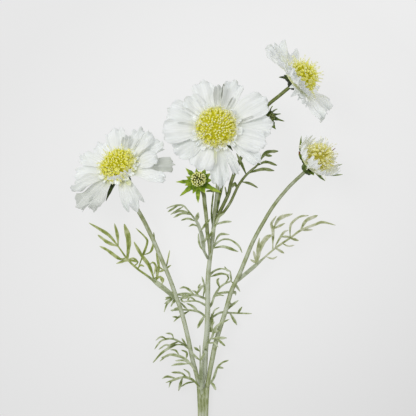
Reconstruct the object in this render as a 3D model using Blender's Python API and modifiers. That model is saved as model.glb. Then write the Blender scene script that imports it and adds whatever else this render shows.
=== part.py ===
"""A cut spray of white scabiosa, lying on a surface: stalk, stems, leaves, flowers and buds.

The spray is drawn on a flat plan, seen from above: u runs to the right and v runs down the sheet, with the
flowers at the top. A place on the plan and a height in millimetres give a point. +Y runs from the cut end to
the flowers, +Z is up, and the origin is under the stalk, on the flat spot that it rests on.
"""
import math
import random

import bmesh
import bpy
from mathutils import Matrix, Vector

MM = 0.001
PLAN_UNIT = 0.000734  # one unit of the plan, in metres
PLAN_ORIGIN = (203.0, 470.0)  # the place on the plan that lies at X = 0, Y = 0
GAP = 0.3 * MM  # left between neighbouring pieces

STEM_SIDES_RESOLUTION = 2  # a tube with eight sides
STEM_STEP = 15 * MM
BLADE_THICKNESS = 0.8 * MM
BLADE_TIP_SHARE = 0.14  # of a blade's width, left at its tip
SCRAP_POINTS = 8  # a body with fewer corners than this is a speck

PETAL_THICKNESS = 0.7 * MM
PETAL_ACROSS = 4
PETAL_STATIONS = (0.0, 0.38, 0.73, 1.0)
PETAL_PLEAT = 0.9 * MM
PETAL_CUP = 0.9 * MM
PETAL_CORNERS = 0.13  # share of the length that is missing at a petal's corners
PETAL_TEETH = 0.035  # share of the length by which the middle and side lobes stand out
PETAL_ROOT = 9.2 * MM  # petals start at this distance from the flower's axis
PETAL_CLAW = 1.7 * MM  # half the width of a petal where it leaves the hub
PETAL_SINK = 0.3 * MM  # how far below the hub's zero height a petal starts

HUB_RADIUS = 10.5 * MM
HUB_BOTTOM = -0.9 * MM
HUB_TOP = 0.3 * MM
DISC_FOOT = 0.6  # share of the disc's radius left at its foot
DISC_CUT = -0.2  # where the ball that a disc is made from is cut off, as a share of its radius
FLORET_HEIGHTS = (1.5, 3.2)  # millimetres, lowest and highest

BRACT_STATIONS = (0.0, 0.35, 0.7, 1.0)
BRACT_INSIDE = 2.0 * MM  # a bract starts this far inside the rim of the cup
BRACT_BELOW = 1.0 * MM  # and this far below it
BRACT_CURVE = 2.6  # the power that its rise follows
GRAIN = 0.1  # share of a bud's radius by which its grains stand out

COLOURS = {
    "stem": (0.33, 0.39, 0.23, 1.0),
    "leaf": (0.36, 0.42, 0.2, 1.0),
    "bract": (0.17, 0.28, 0.03, 1.0),
    "petal": (0.86, 0.87, 0.84, 1.0),
    "disc": (0.62, 0.58, 0.1, 1.0),
    "bud": (0.5, 0.52, 0.14, 1.0),
}

# A stem's points are (u, v, height, radius), the last two in millimetres, from its foot to its head.
STALK_LOBES = (
    [(200.5, 476, 1.45, 1.8), (200.4, 440, 1.45, 1.8), (200.1, 412, 2.2, 1.75), (199.3, 391, 3.1, 1.75)],
    [(203.0, 476, 1.45, 1.7), (203.0, 440, 1.45, 1.7), (203.0, 412, 2.0, 1.7), (203.1, 391, 2.8, 1.7)],
    [(205.6, 476, 1.45, 1.8), (205.7, 440, 1.45, 1.8), (206.0, 412, 2.2, 1.75), (206.9, 391, 3.1, 1.8)],
)
STEMS = {
    "left_flower_stem": [
        (199.1, 390.5, 3.1, 1.5), (198.2, 383, 3.4, 1.6), (195.5, 371.8, 3.8, 1.6), (192.4, 360.3, 4.3, 1.6),
        (187.8, 338.2, 5.2, 1.6), (181.7, 313.7, 6.6, 1.6), (175, 294.3, 7.8, 1.55), (169.3, 278.3, 8.8, 1.5),
        (161, 258.6, 10.2, 1.5), (153.3, 240.7, 11.6, 1.5), (143.8, 221, 12.8, 1.5), (134.8, 205, 13.4, 1.5),
        (129.5, 192, 14.2, 1.5),
    ],
    "large_flower_stem": [
        (203.0, 390.5, 2.7, 0.95), (203.2, 384, 2.7, 1.5), (204.6, 372, 3.4, 1.9), (205.4, 350, 4.4, 2.1),
        (207, 333.6, 5.2, 2.0), (207.7, 310.6, 6.4, 1.9), (208, 280, 8.2, 1.75), (209.8, 260, 9.5, 1.6),
        (212.3, 241, 11, 1.55), (213.6, 228.3, 12, 1.5), (215, 212, 12.8, 1.5), (217.5, 192, 14.0, 1.5),
        (218, 172, 15.5, 1.5), (217.4, 155, 19.5, 1.5), (216.7, 146, 24.2, 1.5),
    ],
    "small_flower_stem": [
        (207.1, 390.5, 3.2, 1.6), (207.9, 384, 3.7, 1.65), (210, 371.8, 4.4, 1.7), (212.3, 360.3, 5.1, 1.75),
        (215.4, 345, 6.2, 1.75), (220, 329, 7.4, 1.7), (225.3, 312.9, 8.6, 1.65), (231.5, 291.5, 10.2, 1.6),
        (239.2, 275.2, 11.6, 1.55), (246.2, 258.3, 13, 1.5), (253.2, 241.5, 14.3, 1.4),
        (263.1, 223.2, 15.6, 1.35), (274.3, 205, 16.6, 1.3), (289, 187, 17.2, 1.25),
    ],
    "top_flower_stem": [
        (213.4, 229, 12, 1.3), (217.4, 218, 13.6, 1.3), (220, 211.7, 14.2, 1.3), (224.4, 202.8, 15, 1.3),
        (228.9, 192.6, 15.8, 1.3), (231.6, 181, 16.4, 1.3), (240, 160, 17.4, 1.3), (252, 135, 19.5, 1.3),
        (261, 113, 22.5, 1.3), (269, 104.2, 25.5, 1.3), (279, 96.2, 29.5, 1.3),
    ],
    "front_bud_stem": [
        (210.3, 257, 9.7, 1.1), (209.1, 241, 14, 1.1), (207.8, 231.5, 15.5, 1.1), (207.5, 221.9, 17, 1.1),
        (206.6, 212.3, 19, 1.1), (204.6, 202.8, 22, 1.1), (203, 194, 26, 1.1),
    ],
    "side_bud_stem": [
        (247.5, 144.5, 18.6, 0.95), (252.5, 137, 16, 0.95), (256.5, 125, 12, 0.95),
    ],
    "side_branch": [
        (218.2, 215.5, 13.9, 1.0), (221.5, 214, 15.6, 1.0), (225, 210.4, 16.8, 1.0),
        (230.2, 202.8, 17.5, 1.0), (233.9, 195, 17.6, 1.0), (238.7, 185, 18.2, 0.95),
        (245.1, 176.3, 18.8, 0.9), (251.5, 170, 19.4, 0.8), (257, 165.5, 19.8, 0.7), (261, 158, 20.2, 0.6),
    ],
}
BRANCHES_FROM = {
    "top_flower_stem": "large_flower_stem",
    "front_bud_stem": "large_flower_stem",
    "side_bud_stem": "top_flower_stem",
    "side_branch": "top_flower_stem",
}

# Each leaf: the stems that it is kept clear of, its height in millimetres at its base, middle and tip, and
# its lobes, the rachis first. A lobe is (width, lift of its tip, plan points), the first two in millimetres.
LEAVES = {
    "left_stem_leaf": (("left_flower_stem",), (6.4, 6.6, 9.5), [
        (2.4, 0, [(176, 299), (167, 291.5), (160, 286), (146, 275.5), (137.4, 269.4), (127.2, 259.8),
                  (117.6, 246.5), (108.7, 235.6), (98, 228.5), (88.3, 222.9)]),
        (2.0, 2, [(117.6, 246), (117, 235.6), (114.1, 223.5)]),
        (2.2, -1, [(117.6, 246.5), (107.4, 242.6), (97.2, 235)]),
        (3.4, 3, [(127, 258), (128.2, 240), (124, 224.1)]),
        (2.2, -1, [(126.5, 257.5), (119.5, 259.2), (106.8, 250.3), (99.1, 246.5)]),
        (1.8, -2, [(137.4, 262.5), (127.2, 260.5), (115.7, 264)]),
        (1.5, 0, [(137.4, 269.4), (141.9, 257.3), (147, 242.6), (144.4, 236.9), (135.5, 228.3)]),
        (1.5, 0, [(143, 255), (150.6, 251.6), (153.7, 240), (153.4, 232.4)]),
        (2.5, 3, [(153.3, 279), (148.9, 266.2), (141.2, 255.4), (133.6, 242)]),
        (1.5, 2, [(155.9, 282), (156.5, 272), (154.6, 264.3), (150.8, 263)]),
        (1.8, -0.5, [(155.9, 282), (158.4, 267), (155.9, 252.8)]),
        (1.5, -1, [(157.2, 272.6), (163.5, 270.4), (170.9, 265.3)]),
        (1.8, -2, [(154.6, 280.9), (159.7, 277), (162.3, 283.4)]),
    ]),
    "right_stem_leaf": (("small_flower_stem",), (11.4, 13, 18), [
        (2.2, 0, [(236.8, 281), (242, 277), (256.8, 264.6), (274.3, 249.2), (290.4, 238), (301, 230.3),
                  (315, 224.6), (323, 222.2), (335.7, 225.2)]),
        (1.6, -2, [(301, 230), (312.9, 229.9)]),
        (2.4, 2, [(301.5, 229), (306.6, 220.4), (317.8, 215.4)]),
        (1.7, 3, [(290.4, 236.5), (291.1, 224.6), (299.6, 216.9), (308.7, 215.5)]),
        (1.7, -2, [(290.4, 238), (299.2, 240.8)]),
        (1.6, 3, [(290, 237), (280, 236.6)]),
        (1.6, 1, [(275.8, 246), (283.4, 233), (288.7, 230.1)]),
        (2.0, 4, [(273, 248), (273.2, 230.3), (271.5, 223.9), (276.4, 215.9)]),
        (1.6, 2, [(273.5, 229), (285.2, 223.2)]),
        (2.4, 3, [(273.5, 229), (279.9, 218.3), (292.9, 213.8)]),
        (1.7, -2, [(275.5, 248), (284.5, 253.4)]),
        (3.2, 3, [(257, 264), (260.3, 248.5), (266.6, 238), (273.5, 234.9)]),
        (1.8, 2, [(257, 262), (258.2, 247), (259.6, 238)]),
        (1.8, 1, [(256.5, 262), (253.6, 251)]),
        (1.6, 0, [(256.5, 263), (250.4, 259.6)]),
    ]),
    "upper_left_leaf": (("large_flower_stem", "front_bud_stem", "top_flower_stem", "side_branch"),
                        (12.2, 18.6, 22), [
        (1.9, 0, [(208, 259), (204, 250.6), (203.4, 244.2), (201.5, 234.6), (199.5, 228.3), (196.4, 221.3),
                  (187.4, 209.8), (182.3, 205.3), (172.8, 206), (166.7, 208.5)]),
        (1.4, -1, [(178, 205.5), (167.7, 212)]),
        (1.5, -1, [(190, 213), (181, 211), (172.1, 213.6)]),
        (1.5, -2, [(191, 214.5), (182, 213.5), (173.4, 217.7)]),
        (1.5, -3, [(195, 221), (188, 218.6), (181, 220.3)]),
        (2.4, 4, [(196.4, 221), (198.3, 212.3)]),
        (1.7, 4, [(200.5, 231), (207.2, 222.5), (210.4, 218.7)]),
        (1.4, -3, [(204.6, 252), (200.8, 247.4), (198.9, 241), (198.3, 233.4)]),
        (1.8, 2.5, [(202, 242), (209.7, 235.9), (216, 224), (219, 217), (224.5, 213.2)]),
        (1.7, 0.5, [(216, 224.5), (224, 222), (231.7, 221.6)]),
    ]),
    "upper_right_leaf": (("large_flower_stem",), (10.4, 13, 15), [
        (1.7, 0, [(210.8, 252), (215, 244.8), (222.5, 239.7), (229, 239.6), (234.6, 242.3), (239.5, 247),
                  (242.3, 253.1)]),
        (1.9, -2, [(212.5, 248.5), (223.8, 246.8), (238.4, 251.9)]),
        (1.6, 2, [(214.8, 243), (220, 234.6), (229.5, 234.6)]),
    ]),
    "curled_right_leaf": (("large_flower_stem",), (8.6, 12, 14), [
        (1.6, 0, [(208.6, 277.5), (213, 272), (219.3, 269.1), (225, 269.3), (230.5, 272)]),
        (1.6, -1, [(210.4, 277), (220.6, 273.9), (229.5, 275.4)]),
    ]),
    "middle_right_leaf": (("large_flower_stem", "small_flower_stem"), (6.3, 6.9, 7.3), [
        (1.9, 0, [(208.2, 309), (211.6, 304.5), (213.9, 297.6), (216.9, 292.2), (220, 287.7), (225.3, 283.8),
                  (231, 281.2), (230.8, 276), (230.2, 270.8)]),
        (1.8, 2, [(219.3, 287), (217.4, 281.2), (219.3, 278.3)]),
        (1.8, 0, [(216.9, 293.8), (229.2, 292.6), (236.3, 294.2)]),
        (1.6, 0, [(231, 281.4), (236.8, 286.9), (240.3, 292.2)]),
    ]),
    "lower_right_leaf": (("large_flower_stem", "small_flower_stem"), (5.0, 5.2, 7), [
        (1.7, 0, [(208, 320), (213, 317.5), (217.7, 314.4), (222.3, 312.9), (227.6, 313.3), (236.8, 313.7),
                  (252.1, 314.2)]),
        (1.7, 2, [(226, 312.5), (231, 306.5), (238.7, 300.7)]),
        (1.9, -1, [(230, 313.4), (237.2, 325.9)]),
        (1.5, 2, [(238, 313.7), (242.2, 307.2)]),
        (2.4, 0, [(210, 333), (211.6, 324), (211.8, 314)]),
    ]),
    "front_leaf": (("large_flower_stem", "small_flower_stem"), (6.5, 11.2, 14), [
        (1.9, 0, [(205.6, 351), (206.6, 345.8), (210, 340.4), (212.9, 336), (213.6, 330.5), (218.5, 325.1),
                  (229.5, 319.4)]),
        (1.9, 0.5, [(211.5, 339.5), (217, 338.6), (226.9, 338.3)]),
        (1.7, 0, [(216, 339), (220, 341.8), (225.3, 346.6)]),
        (1.5, 2, [(213.2, 333), (217.4, 327)]),
    ]),
    "long_left_leaf": (("large_flower_stem",), (6.0, 4.3, 3.0), [
        (1.8, 0, [(206.8, 300), (198.6, 296.6), (192.4, 295.3), (185.5, 294), (178, 295), (172, 298.5),
                  (167, 304), (163.7, 312.9)]),
        (1.4, 0, [(172.5, 298), (164.9, 298.4)]),
        (1.4, 0, [(171, 299.5), (164.1, 304.5)]),
        (1.4, -0.3, [(175, 298), (170.6, 307.5)]),
        (1.6, 2.5, [(194, 295.3), (188, 289.5), (183.3, 287.7), (179.5, 289)]),
        (2.0, 3, [(196, 295.3), (200.9, 288), (203.6, 285.4)]),
        (1.5, 3, [(203, 297.5), (204.6, 287.7), (201.8, 276.7)]),
        (1.4, 2.5, [(186, 294.5), (181, 300), (184.6, 303)]),
    ]),
    "short_left_leaf": (("large_flower_stem", "left_flower_stem"), (6.3, 7, 8), [
        (1.6, 0, [(207, 306.5), (198.6, 302.2), (192.4, 301.4), (183, 302.2)]),
        (1.4, 2, [(196, 301.8), (190.5, 297.6), (184, 298.2)]),
    ]),
    "lower_left_leaf": (("large_flower_stem", "left_flower_stem"), (5.4, 4.0, 3.4), [
        (1.8, 0, [(207, 318.5), (198.6, 312.4), (187.8, 310.6), (179, 310.4), (170.2, 311)]),
        (1.7, 3, [(198.5, 312.4), (192, 306.5), (186.5, 303.9)]),
        (1.5, -0.8, [(190, 311), (177.9, 318.3), (173.3, 322.8)]),
        (2.2, 1.5, [(204.2, 316.5), (199.3, 325.1), (197.4, 329)]),
    ]),
    "foot_left_leaf": (("left_flower_stem",), (5.2, 7.5, 10), [
        (1.7, 0, [(188.6, 349), (181, 343.4), (173.3, 339.7), (166.5, 339.6), (160.3, 342), (154.2, 350)]),
        (1.7, -2, [(184.5, 346.2), (175.6, 345.6), (162.6, 352.7), (152.7, 363.4)]),
        (1.5, 1.5, [(178.5, 342), (167.2, 347.2)]),
        (1.4, 2, [(186.5, 346.8), (181.5, 338.6)]),
    ]),
    "foot_leaves": (("stalk", "left_flower_stem", "large_flower_stem"), (2.6, 7.6, 9), [
        (1.9, 0, [(202.6, 401), (201.4, 390), (201.1, 379), (200.6, 366), (200.2, 355), (199.8, 346)]),
        (1.8, 1.2, [(201, 380), (194.7, 371.3), (190.9, 365.4), (185.5, 360), (179.4, 356.9), (168.7, 355.4),
                    (159.5, 361.9)]),
        (1.8, 2.4, [(201.3, 392), (195.5, 383.3), (190.1, 379.5), (184, 377.9), (177.9, 379.1),
                    (165.7, 383.3)]),
        (1.6, 1, [(199.8, 352), (196.5, 349.6), (193.6, 347.6)]),
        (1.6, 1.5, [(200.2, 361), (194.6, 356.5), (191.2, 351.6)]),
        (1.6, 1.5, [(200.4, 361.5), (203, 356.5), (205, 353.5)]),
        (1.5, 2, [(185.9, 360.4), (186.7, 353.4), (181, 350.4)]),
        (1.6, -1.5, [(189.6, 364.4), (177.1, 364.9), (171, 366.8)]),
        (1.5, 1.5, [(170, 355.3), (161.1, 358.6)]),
        (1.5, 2, [(187, 378.6), (181, 373.7), (171, 373)]),
        (1.5, 1, [(176.5, 379.6), (167.2, 377.2), (161.8, 379.5)]),
        (1.8, -3, [(182.5, 378), (178.3, 392.1)]),
    ]),
    "foot_right_leaf": (("small_flower_stem", "stalk"), (3.8, 6.5, 9), [
        (2.0, 0, [(208, 386), (211.4, 382.5), (213.9, 378.7), (216.1, 371.8), (217.7, 368), (222.3, 363.4),
                  (228.8, 360.9)]),
        (1.6, -1, [(217.7, 368), (223.6, 369)]),
        (2.0, -0.5, [(210.4, 383.6), (213, 385.6), (216, 391.2)]),
    ]),
}
BRANCH_LOBES = [
    (2.2, 2, [(248.5, 173), (256, 170.6), (264.2, 169.1), (274.3, 170.8)]),
    (2.0, 0.5, [(257.9, 165.1), (266, 161.9), (277, 165.4)]),
    (2.4, 1, [(260.4, 160), (266.6, 152.4), (278.3, 151.2)]),
    (1.7, -1, [(264.5, 155), (272.2, 155.9)]),
    (1.7, -2, [(241.5, 181.7), (250, 183.5), (257.9, 187.8)]),
    (1.8, 1.5, [(246.5, 175.1), (241.1, 162.9), (236.5, 153.4)]),
    (1.9, 1, [(237, 188.6), (234.6, 183), (232.4, 187.6)]),
]

# A head: its hub (u, v, height in mm), the tilt of its axis from upright and the plan direction that it tilts
# to (degrees, anticlockwise from +X), its cup (radius at the foot and at the rim, depth, in mm), its disc
# (radius, height of the rim and height of the dome, in mm), and its petals and bracts. A petal is (direction,
# reach, width, rise, droop, twist): reach is from the flower's axis, rise is the angle at which the petal
# leaves the hub, droop is how far it bends back over its length and twist is how far it turns about its own
# length. A bract is (direction, reach, width, rise).
FLOWERS = {
    "large_flower": {
        "hub": (216, 130, 43.5), "tilt": (18, 90), "cup": (2.1, 5.5, 7), "disc": (14.2, 3.5, 8.5),
        "petals": [
            (107, 38, 16, 12, 10, 0), (86, 33, 9, 20, 22, 0), (68, 39.5, 15, 8, 10, 0),
            (31, 43, 20, 14, 18, 0), (4, 41, 18, 7, 10, 0), (-20, 38, 18, 14, 16, 0),
            (-39, 41, 11, 7, 14, 0), (-66, 38, 8, 12, 22, 0), (-86, 43, 14, 4, 24, 0),
            (-113, 33.5, 19, 12, 24, 0), (-148, 35, 20, 6, 12, 0), (-175, 39.5, 19, 13, 14, 0),
            (156, 38.5, 19, 6, 8, 0), (133, 32, 16, 15, 12, 0),
        ],
        "bracts": [(10 + 60 * i, 19, 3.6, -12) for i in range(6)],
    },
    "left_flower": {
        "hub": (120.2, 168.8, 21.59), "tilt": (40, 120), "cup": (2.1, 5.5, 7), "disc": (11.8, 3.5, 8),
        "petals": [
            (102, 37, 15, 12, 12, 0), (79, 27, 7, 22, 10, 0), (64, 35, 11, 10, -6, 0),
            (45, 35, 12, 16, 4, 0), (25, 37, 13, 8, 4, 0), (2, 41, 15, 6, 26, 0),
            (4, 31, 15, 18, 10, 0), (-23, 41, 10, 12, 14, 0), (-68, 37, 16, 2, 40, 0),
            (-120, 38, 12, 8, 22, 0), (-136, 43, 14, 2, 16, 0), (-156, 38, 12, 12, 16, 0),
            (-177, 36, 13, 4, 8, 0), (159, 34, 12, 12, 6, 0), (131, 32, 12, 4, 6, 0),
        ],
        "bracts": [(67 + 60 * i, 26 if i == 3 else 16, 3.6, -8) for i in range(6)],
    },
    "top_flower": {
        "hub": (294.8, 83.4, 32.72), "tilt": (80, 38.5), "cup": (2.1, 5.5, 5.6), "disc": (10.2, 5, 10.5),
        "petals": [
            (133, 33, 13, 6, 6, -35), (112, 33, 13, 15, 10, -50), (82, 32, 14, 26, 16, -45),
            (44, 33, 14, 14, 14, 0), (10, 33, 14, 22, 16, 20), (-21, 33, 14, 16, 16, 40),
            (-42, 33, 10, 26, 16, 55), (-62, 34.5, 12, 10, 20, 50), (-94, 22, 12, -2, 18, 0),
            (-122, 20.5, 12, -8, 20, 0), (-150, 29, 13, 22, 10, 0), (178, 31, 13, 14, 8, 0),
        ],
        "bracts": [(-66, 15.5, 3.4, -6), (-18, 15, 3.4, -12), (42, 15, 3.4, -12), (102, 11, 3.4, -12),
                   (158, 12, 4.2, -25)],
    },
    "small_flower": {
        "hub": (312.8, 163.8, 23), "tilt": (65, 45), "cup": (4.2, 5.5, 8.5), "disc": (8.8, 4, 10.5),
        "petals": [(25 + 40 * i, 22 + 2 * (i % 2), 9.5, 26 + 4 * (i % 2), -46, 0) for i in range(9)],
        "bracts": [(-64, 16, 3.2, 8), (-25, 22.5, 3.2, 27), (4, 24, 3.4, 28), (36, 25, 3.4, 32),
                   (84, 21, 3.2, 27), (122, 21, 3.2, 28), (142, 14, 4.2, 12), (-104, 12.5, 4.2, 6),
                   (-142, 15, 4, 12)],
    },
}
BUDS = {
    "front_bud": {
        "hub": (198.5, 180.5, 45), "tilt": (20, 92), "cup": (2.1, 4.6, 5.5), "head": 5.4,
        "bracts": [(135, 13.5, 4.2, 8), (100, 9, 4.6, 22), (62, 10.5, 4.4, 14), (30, 10.5, 4.8, 18),
                   (0, 10, 4.8, 14), (-30, 19, 4.2, 8), (-62, 10.5, 5, 6), (-90, 17, 4, 2),
                   (-114, 10.5, 5, 4), (-138, 18, 4.2, 4), (-160, 10.5, 4.8, 10), (-176, 16.5, 3.6, 6),
                   (160, 9.5, 4.6, 14)],
    },
    "side_bud": {
        "hub": (270.8, 116.2, 11.5), "tilt": (45, -20), "cup": (2.1, 4.2, 5), "head": 2.8,
        "bracts": [(-18, 10.5, 4.2, 40), (14, 8.5, 4.2, 34), (39, 8.2, 4.2, 20), (75, 8, 4.2, 14),
                   (107, 8, 4.4, 12), (152, 7.5, 4.4, 8), (-57, 12, 4.2, 14), (-98, 8.5, 4.2, 12),
                   (-140, 7, 4.4, 8)],
    },
}
HEADS = {**FLOWERS, **BUDS}


def clear_scene():
    for old in list(bpy.data.objects):
        bpy.data.objects.remove(old, do_unlink=True)


def make_collection(name):
    made = bpy.data.collections.new(name)
    bpy.context.scene.collection.children.link(made)
    return made


def make_material(name, colour, roughness=0.6):
    made = bpy.data.materials.new(name)
    made.use_nodes = True
    shader = made.node_tree.nodes["Principled BSDF"]
    shader.inputs["Base Color"].default_value = colour
    shader.inputs["Roughness"].default_value = roughness
    shader.inputs["Metallic"].default_value = 0.0
    made.diffuse_color = colour
    return made


def at(u, v, height):
    """The point over a place on the plan, at a height in millimetres."""
    x = (u - PLAN_ORIGIN[0]) * PLAN_UNIT
    y = (PLAN_ORIGIN[1] - v) * PLAN_UNIT
    return Vector((x, y, height * MM))


def smooth_run(points, step=None, count=None):
    """Points along a smooth curve (Catmull-Rom) through the given ones, which may carry more than a place."""
    before = [2 * a - b for a, b in zip(points[0], points[1])]
    after = [2 * a - b for a, b in zip(points[-1], points[-2])]
    run = [before, *points, after]
    fine = []
    per_span = 12
    for i in range(1, len(run) - 2):
        for k in range(per_span):
            fine.append(blend_of(run[i - 1:i + 3], k / per_span))
    fine.append(list(points[-1]))
    lengths = [0.0]
    for a, b in zip(fine, fine[1:]):
        lengths.append(lengths[-1] + math.dist(a[:3], b[:3]))
    if count is None:
        count = max(2, round(lengths[-1] / step))
    picked = []
    for k in range(count + 1):
        target = lengths[-1] * k / count
        index = next(i for i, reach in enumerate(lengths) if reach >= target - 1e-9)
        picked.append(fine[index])
    return picked


def blend_of(four, t):
    """One point of a Catmull-Rom span."""
    made = []
    for a, b, c, d in zip(*four):
        made.append(0.5 * (2 * b + (c - a) * t + (2 * a - 5 * b + 4 * c - d) * t * t
                           + (3 * b - a - 3 * c + d) * t ** 3))
    return made


def add_mesh_object(name, bm, collection, material=None):
    bmesh.ops.recalc_face_normals(bm, faces=bm.faces)
    mesh = bpy.data.meshes.new(name)
    bm.to_mesh(mesh)
    bm.free()
    made = bpy.data.objects.new(name, mesh)
    collection.objects.link(made)
    if material:
        mesh.materials.append(material)
    return made


def evaluated_mesh(thing):
    bpy.context.view_layer.update()
    depsgraph = bpy.context.evaluated_depsgraph_get()
    return bpy.data.meshes.new_from_object(thing.evaluated_get(depsgraph))


def tube(name, points, collection, material=None):
    """A round tube through points of (x, y, z, radius), made a mesh with its caps welded."""
    curve = bpy.data.curves.new(name, "CURVE")
    curve.dimensions = "3D"
    curve.bevel_depth = 1.0
    curve.bevel_resolution = STEM_SIDES_RESOLUTION
    curve.use_fill_caps = True
    curve.twist_mode = "Z_UP"
    spline = curve.splines.new("POLY")
    spline.points.add(len(points) - 1)
    for place, (x, y, z, radius) in zip(spline.points, points):
        place.co = (x, y, z, 1.0)
        place.radius = radius
    source = bpy.data.objects.new(name + "_curve", curve)
    collection.objects.link(source)
    bm = bmesh.new()
    bm.from_mesh(evaluated_mesh(source))
    bmesh.ops.remove_doubles(bm, verts=bm.verts, dist=0.01 * MM)
    bpy.data.objects.remove(source, do_unlink=True)
    made = add_mesh_object(name, bm, collection, material)
    made.data.shade_smooth()
    return made


def loft(name, rings, collection):
    """A closed body through rings of four points, for blades whose section changes along them."""
    bm = bmesh.new()
    rows = [[bm.verts.new(point) for point in ring] for ring in rings]
    size = len(rings[0])
    for low, high in zip(rows, rows[1:]):
        for i in range(size):
            bm.faces.new((low[i], low[(i + 1) % size], high[(i + 1) % size], high[i]))
    bm.faces.new(rows[0])
    bm.faces.new(rows[-1])
    return add_mesh_object(name, bm, collection)


def blade(name, run, width, up, collection, root_share=0.7):
    """A pointed blade with a lens section, flat side facing up, along a run of points."""
    stations = len(run) - 1
    rings = []
    for i, place in enumerate(run):
        along = (run[min(i + 1, stations)] - run[max(i - 1, 0)]).normalized()
        side = along.cross(up).normalized()
        face = side.cross(along).normalized()
        t = i / stations
        swell = root_share + (1 - root_share) * math.sin(math.pi * min(1.0, t / 0.5) / 2)
        half = 0.5 * width * swell * max(BLADE_TIP_SHARE, 1 - t ** 4)
        thick = 0.5 * BLADE_THICKNESS * (0.5 if i == stations else 1.0)
        rings.append([place + side * half, place + face * thick, place - side * half, place - face * thick])
    return loft(name, rings, collection)


def union(name, pieces, material):
    """Joins overlapping pieces into one closed body, by MANIFOLD because EXACT leaves some of them open."""
    base, others = pieces[0], pieces[1:]
    repeats = make_collection(name + "_repeats")
    for piece in others:
        for holder in list(piece.users_collection):
            holder.objects.unlink(piece)
        repeats.objects.link(piece)
    joined = base.modifiers.new("union", "BOOLEAN")
    joined.operation = "UNION"
    joined.operand_type = "COLLECTION"
    joined.collection = repeats
    joined.solver = "MANIFOLD"
    mesh = evaluated_mesh(base)
    drop_scraps(mesh)
    base.modifiers.clear()
    base.data = mesh
    base.name = name
    mesh.name = name
    mesh.materials.clear()
    mesh.materials.append(material)
    for piece in others:
        bpy.data.objects.remove(piece, do_unlink=True)
    bpy.data.collections.remove(repeats)
    return base


def drop_scraps(mesh):
    """Deletes the specks that a union can leave beside the body."""
    bm = bmesh.new()
    bm.from_mesh(mesh)
    unseen = set(bm.verts)
    while unseen:
        group, edge = set(), {unseen.pop()}
        while edge:
            group |= edge
            edge = {e.other_vert(v) for v in edge for e in v.link_edges} - group
        unseen -= group
        if len(group) < SCRAP_POINTS:
            bmesh.ops.delete(bm, geom=list(group), context="VERTS")
    bm.to_mesh(mesh)
    bm.free()


def keep_clear(thing, cutter):
    """Trims a piece back to a gap from a stem."""
    cut = thing.modifiers.new("clear of " + cutter.name, "BOOLEAN")
    cut.operation = "DIFFERENCE"
    cut.solver = "MANIFOLD"  # EXACT leaves some of the thin blades open
    cut.object = cutter


def fat_copy(name, points, cutters):
    """A copy of a stem that is a gap wider all round."""
    grown = [(x, y, z, radius + GAP) for x, y, z, radius in points]
    made = tube(name + "_cutter", grown, cutters)
    made.hide_render = True
    made.display_type = "WIRE"
    return made


def head_matrix(hub, tilt):
    """The place of a head: its axis tilts from upright towards a direction on the plan."""
    angle, towards = (math.radians(value) for value in tilt)
    hinge = Vector((-math.sin(towards), math.cos(towards), 0))
    return Matrix.Translation(at(*hub)) @ Matrix.Rotation(angle, 4, hinge)


def stem_points(name, heads):
    """A stem's smooth run of points, which ends squarely at the foot of the head that it carries."""
    points = [[*at(u, v, height), radius * MM] for u, v, height, radius in STEMS[name]]
    run = smooth_run(points, step=STEM_STEP)
    carried = name.replace("_stem", "")
    if carried in heads:
        depth = HEADS[carried]["cup"][2] * MM
        for below in (3.2 * MM, GAP):
            foot = heads[carried] @ Vector((0, 0, -depth - below))
            run.append([*foot, points[-1][3]])
    return run


def petal(name, spec, index, collection):
    """A fan-shaped petal with pleats and a three-lobed tip, as a grid shaped by formula and thickened."""
    direction, reach, width, rise, droop, twist = spec
    rows = len(PETAL_STATIONS) - 1
    bm = bmesh.new()
    bmesh.ops.create_grid(bm, x_segments=PETAL_ACROSS, y_segments=rows, size=1.0)
    turn = Matrix.Rotation(math.radians(direction), 3, "Z")
    for vert in bm.verts:
        w = round(vert.co.x * PETAL_ACROSS / 2) * 2 / PETAL_ACROSS
        t = PETAL_STATIONS[round((vert.co.y + 1) * rows / 2)]
        vert.co = turn @ petal_point(t, w, reach * MM, width * MM, rise, droop, twist, index)
    bmesh.ops.triangulate(bm, faces=bm.faces, quad_method="ALTERNATE")
    made = add_mesh_object(name, bm, collection)
    thick = made.modifiers.new("thickness", "SOLIDIFY")
    thick.thickness = PETAL_THICKNESS
    thick.offset = 0.0
    mesh = evaluated_mesh(made)
    made.modifiers.clear()
    made.data = mesh
    return made


def petal_point(t, w, reach, width, rise, droop, twist, index):
    """A point of a petal that runs along +X: t from root to tip, w from -1 to 1 across."""
    run = reach - PETAL_ROOT
    wave = math.cos(2 * math.pi * w)
    along = t * (1 - PETAL_CORNERS * w * w * t + PETAL_TEETH * t * t * wave)
    start, bend = math.radians(rise), math.radians(droop)
    out = (math.sin(start) - math.sin(start - bend * along)) / bend
    lift = (math.cos(start - bend * along) - math.cos(start)) / bend
    widen = math.sin(math.pi / 2 * min(1.0, t / 0.8)) ** 0.9
    half = PETAL_CLAW + (width / 2 - PETAL_CLAW) * widen
    relief = PETAL_PLEAT * min(1.0, 1.4 * t) * wave * (-1) ** index + PETAL_CUP * t * w * w
    turned = Matrix.Rotation(math.radians(twist) * min(1.0, 2.2 * t), 3, "X") @ Vector((0, w * half, relief))
    return turned + Vector((PETAL_ROOT + run * out, 0, run * lift - PETAL_SINK))


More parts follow.
